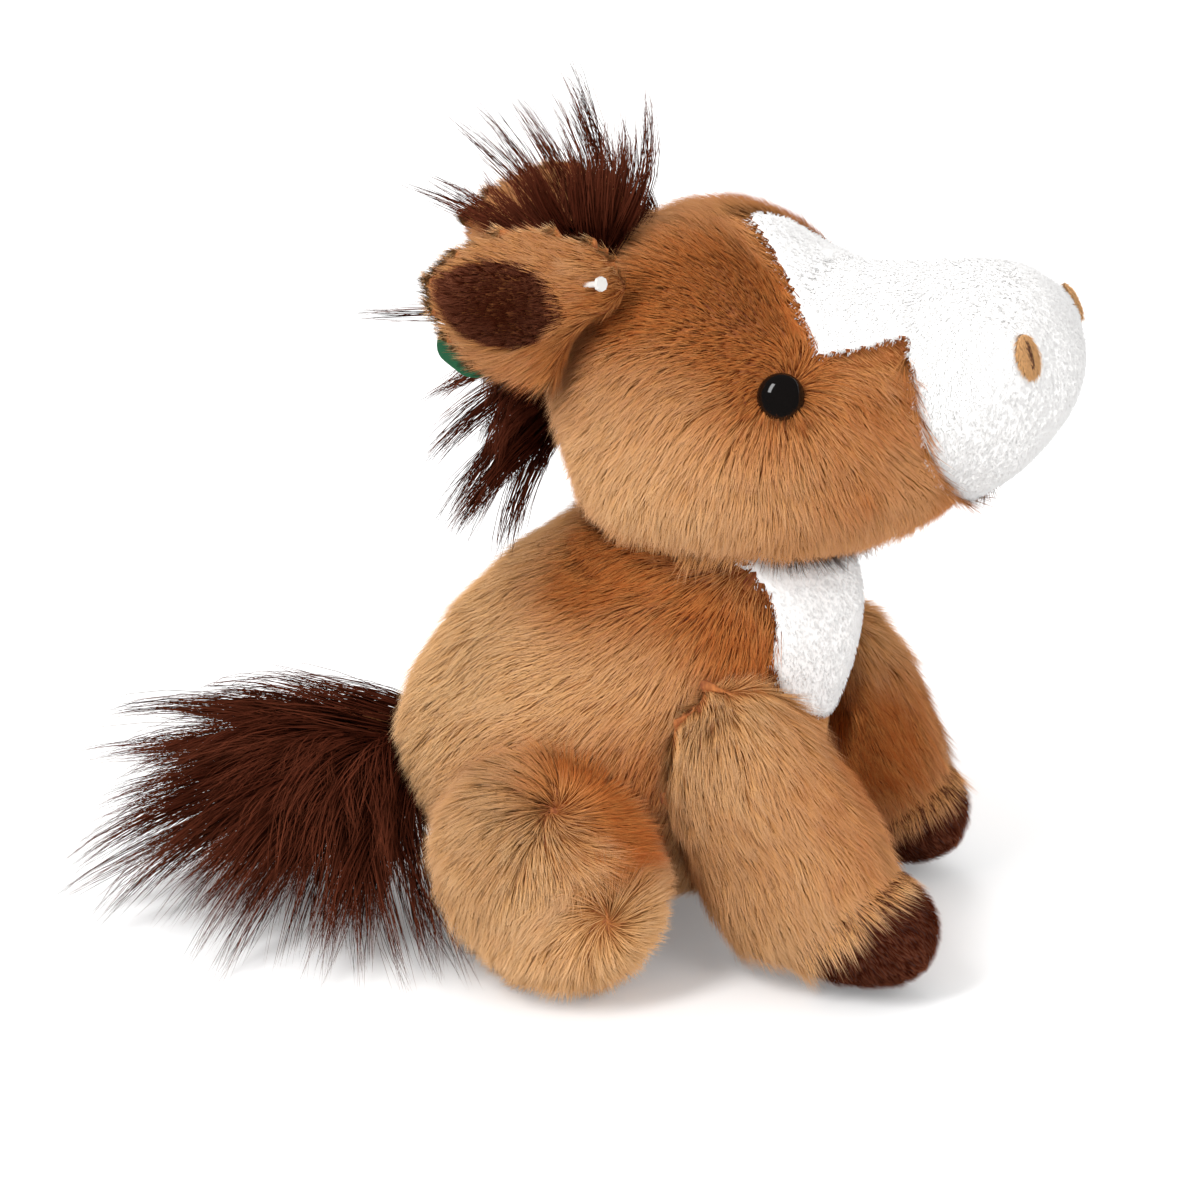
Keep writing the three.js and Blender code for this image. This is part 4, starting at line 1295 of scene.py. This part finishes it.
class PONY_OT_trim(bpy.types.Operator):
    """Makes the eyes and nostrils, and finishes the tag, its tack and what lies inside"""

    bl_idname = "pony.trim"
    bl_label = "Eyes, nostrils and tag"

    def execute(self, context):
        eye, card = shades("eye", "card")
        glossy = plain_finish("eye_button", eye, 0.06, 3 * MM, 0.005 * MM, IOR=1.4)
        for side in SIDES:
            self.make_eye(side, glossy)
            self.make_nostril(side)
        self.make_card(plain_finish("tag_card", card, 0.45, 1.5 * MM, 0.02 * MM))
        plastic = plain_finish("plain_plastic", paint("E9E7E2"), 0.35, 1 * MM, 0.01 * MM)
        fibre = cloth_finish("fibre_filling", paint("E6E2D8"), paint("F7F5EF"))
        linen = cloth_finish("bean_bag_linen", paint("C9C2B2"), paint("DCD6C8"))
        finishes = {"tag_tack": plastic, "seat_bean_bag": linen}
        finishes.update({f"eye_washer_{side}": plastic for side in SIDES})
        finishes["tail_core"] = finishes["neck_filling"] = tan_cloth()
        for name, solid in SOLIDS.items():
            if not solid.hide_render:
                solid.data.materials.clear()
                solid.data.materials.append(finishes.get(name, fibre))
        return {"FINISHED"}

    def make_card(self, finish):
        """The card of the tag, with its four corners rounded"""
        piece = copy_of_solids("tag_card", ["swing_tag"])
        with reshaping(piece) as bm:
            bmesh.ops.dissolve_limit(bm, angle_limit=0.02, verts=bm.verts[:], edges=bm.edges[:])
            thin = [edge for edge in bm.edges if edge.calc_length() < 1.2 * MM]
            corners = [edge for edge in thin if 1.4 < edge.calc_face_angle(0) < 1.75]
            rounding = {"offset": 5 * MM, "segments": 8, "profile": 0.5}
            bmesh.ops.bevel(bm, geom=corners, affect="EDGES", material=-1, **rounding)
        dress(piece, finish)
        piece.data.polygons.foreach_set("use_smooth", [False] * len(piece.data.polygons))
        hand_over(piece, "ear_right", "green_card", "swing_tag")

    def make_eye(self, side, finish):
        """A domed button on its shank, along the solid's own line"""
        places = np.unique(corners_of(SOLIDS[f"eye_{side}"]).round(6), axis=0)
        middle = places.mean(axis=0)
        head = np.array(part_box("head_skin")).mean(axis=0)
        apex = places[np.argmax((places - middle) @ unit(middle - head * [1, 0, 1]))]
        gaps = np.linalg.norm(places - apex, axis=1)
        way = unit(apex - places[gaps > 0.985 * gaps.max()].mean(axis=0))
        turn = Vector(way).to_track_quat("Z", "Y").to_matrix().to_4x4()
        radius, rise, shank = 4.8 * MM, 3.5 * MM, 2 * MM
        at = Matrix.Translation(Vector(apex - way * rise)) @ turn
        dome = at @ Matrix.Diagonal((radius, radius, rise, 1))
        below = at @ Matrix.Translation((0, 0, -4.2 * MM))
        bm = bmesh.new()
        bmesh.ops.create_uvsphere(bm, u_segments=40, v_segments=24, radius=1, matrix=dome)
        ends = {"cap_ends": True, "radius1": shank, "radius2": shank}
        bmesh.ops.create_cone(bm, segments=16, depth=7 * MM, matrix=below, **ends)
        eye = object_of(f"eye_{side}_button", bm)
        dress(eye, finish)
        hand_over(eye, "head", "black_eye_plastic", f"eye_{side}")

    def make_nostril(self, side):
        """A padded leaf with a short tan nap, and a dark sheet on it that paints the shade in its fold
        """
        form = copy_of_solids(f"nostril_{side}_leaf", [f"nostril_{side}"])
        subdivide(form, 2)
        (tan,) = shades("nostril")
        dress(form, cloth_finish("nostril_cloth", tuple(0.7 * c for c in tan), tan))
        hand_over(form, "head", "tan_patch", f"nostril_{side}")
        nap = Nap(form, "head", (-0.2, 0, -1))
        nap.lift[:] = 0.6
        coat = Coat(nostril_nap, "tan_patch", 1.5 * MM, 0.2 * MM, 0.8 * MM, 0.1)
        lay_pile(f"nostril_{side}_nap", nap, coat, STRANDS["nostril"], 101 + SIDES[side])
        # The dark sheet along the leaf is painted shade in the nostril's fold.
        fold_shade = copy_of_solids(f"nostril_{side}_crease", [f"nostril_{side}"])
        places = corners_of(fold_shade)
        middle = places.mean(axis=0)
        spread = places - middle
        _, _, axes = np.linalg.svd(spread, full_matrices=False)
        out = axes[2] * np.sign(axes[2] @ np.array([0.7, SIDES[side] * 0.7, 0.1]))
        shrunk = (spread @ axes.T * (0.72, 0.28, 0.95)) @ axes
        set_corners(fold_shade, middle + shrunk + out * 0.5 * MM)
        subdivide(fold_shade, 2)
        dress(fold_shade, cloth_finish("nostril_crease", paint("3A1E10"), paint("5A3018")))
        hand_over(fold_shade, "head", "tan_patch")


class PONY_PT_panel(bpy.types.Panel):
    """Lists the pony's pieces and settings"""

    bl_idname = "PONY_PT_panel"
    bl_label = "Plush pony"
    bl_space_type = "VIEW_3D"
    bl_region_type = "UI"
    bl_category = "Pony"

    def draw(self, context):
        for group in GROUPS:
            box = self.layout.box()
            settings = getattr(context.scene, group)
            for name in settings.__annotations__:
                box.prop(settings, name)
        for operator in OPERATORS:
            self.layout.operator(operator.bl_idname)


GROUPS = {
    "pony_colours": PonyColours,
    "pony_pile": PonyPile,
    "pony_hair": PonyHair,
    "pony_stage": PonyStage,
}
OPERATORS = (
    PONY_OT_stage,
    PONY_OT_torso,
    PONY_OT_head,
    PONY_OT_ears,
    PONY_OT_forelegs,
    PONY_OT_hind_legs,
    PONY_OT_hair,
    PONY_OT_tail,
    PONY_OT_trim,
)


def register():
    for kind in (*GROUPS.values(), *OPERATORS, PONY_PT_panel):
        bpy.utils.register_class(kind)
    for name, kind in GROUPS.items():
        setattr(bpy.types.Scene, name, bpy.props.PointerProperty(type=kind))


def unregister():
    for name in GROUPS:
        delattr(bpy.types.Scene, name)
    for kind in (PONY_PT_panel, *OPERATORS, *GROUPS.values()):
        bpy.utils.unregister_class(kind)


def main():
    register()
    bpy.context.scene.view_settings.view_transform = "Standard"
    bpy.ops.pony.stage()
    bpy.ops.pony.torso()
    bpy.ops.pony.head()
    bpy.ops.pony.ears()
    bpy.ops.pony.forelegs()
    bpy.ops.pony.hind_legs()
    bpy.ops.pony.hair()
    bpy.ops.pony.tail()
    bpy.ops.pony.trim()


if __name__ == "__main__":
    main()
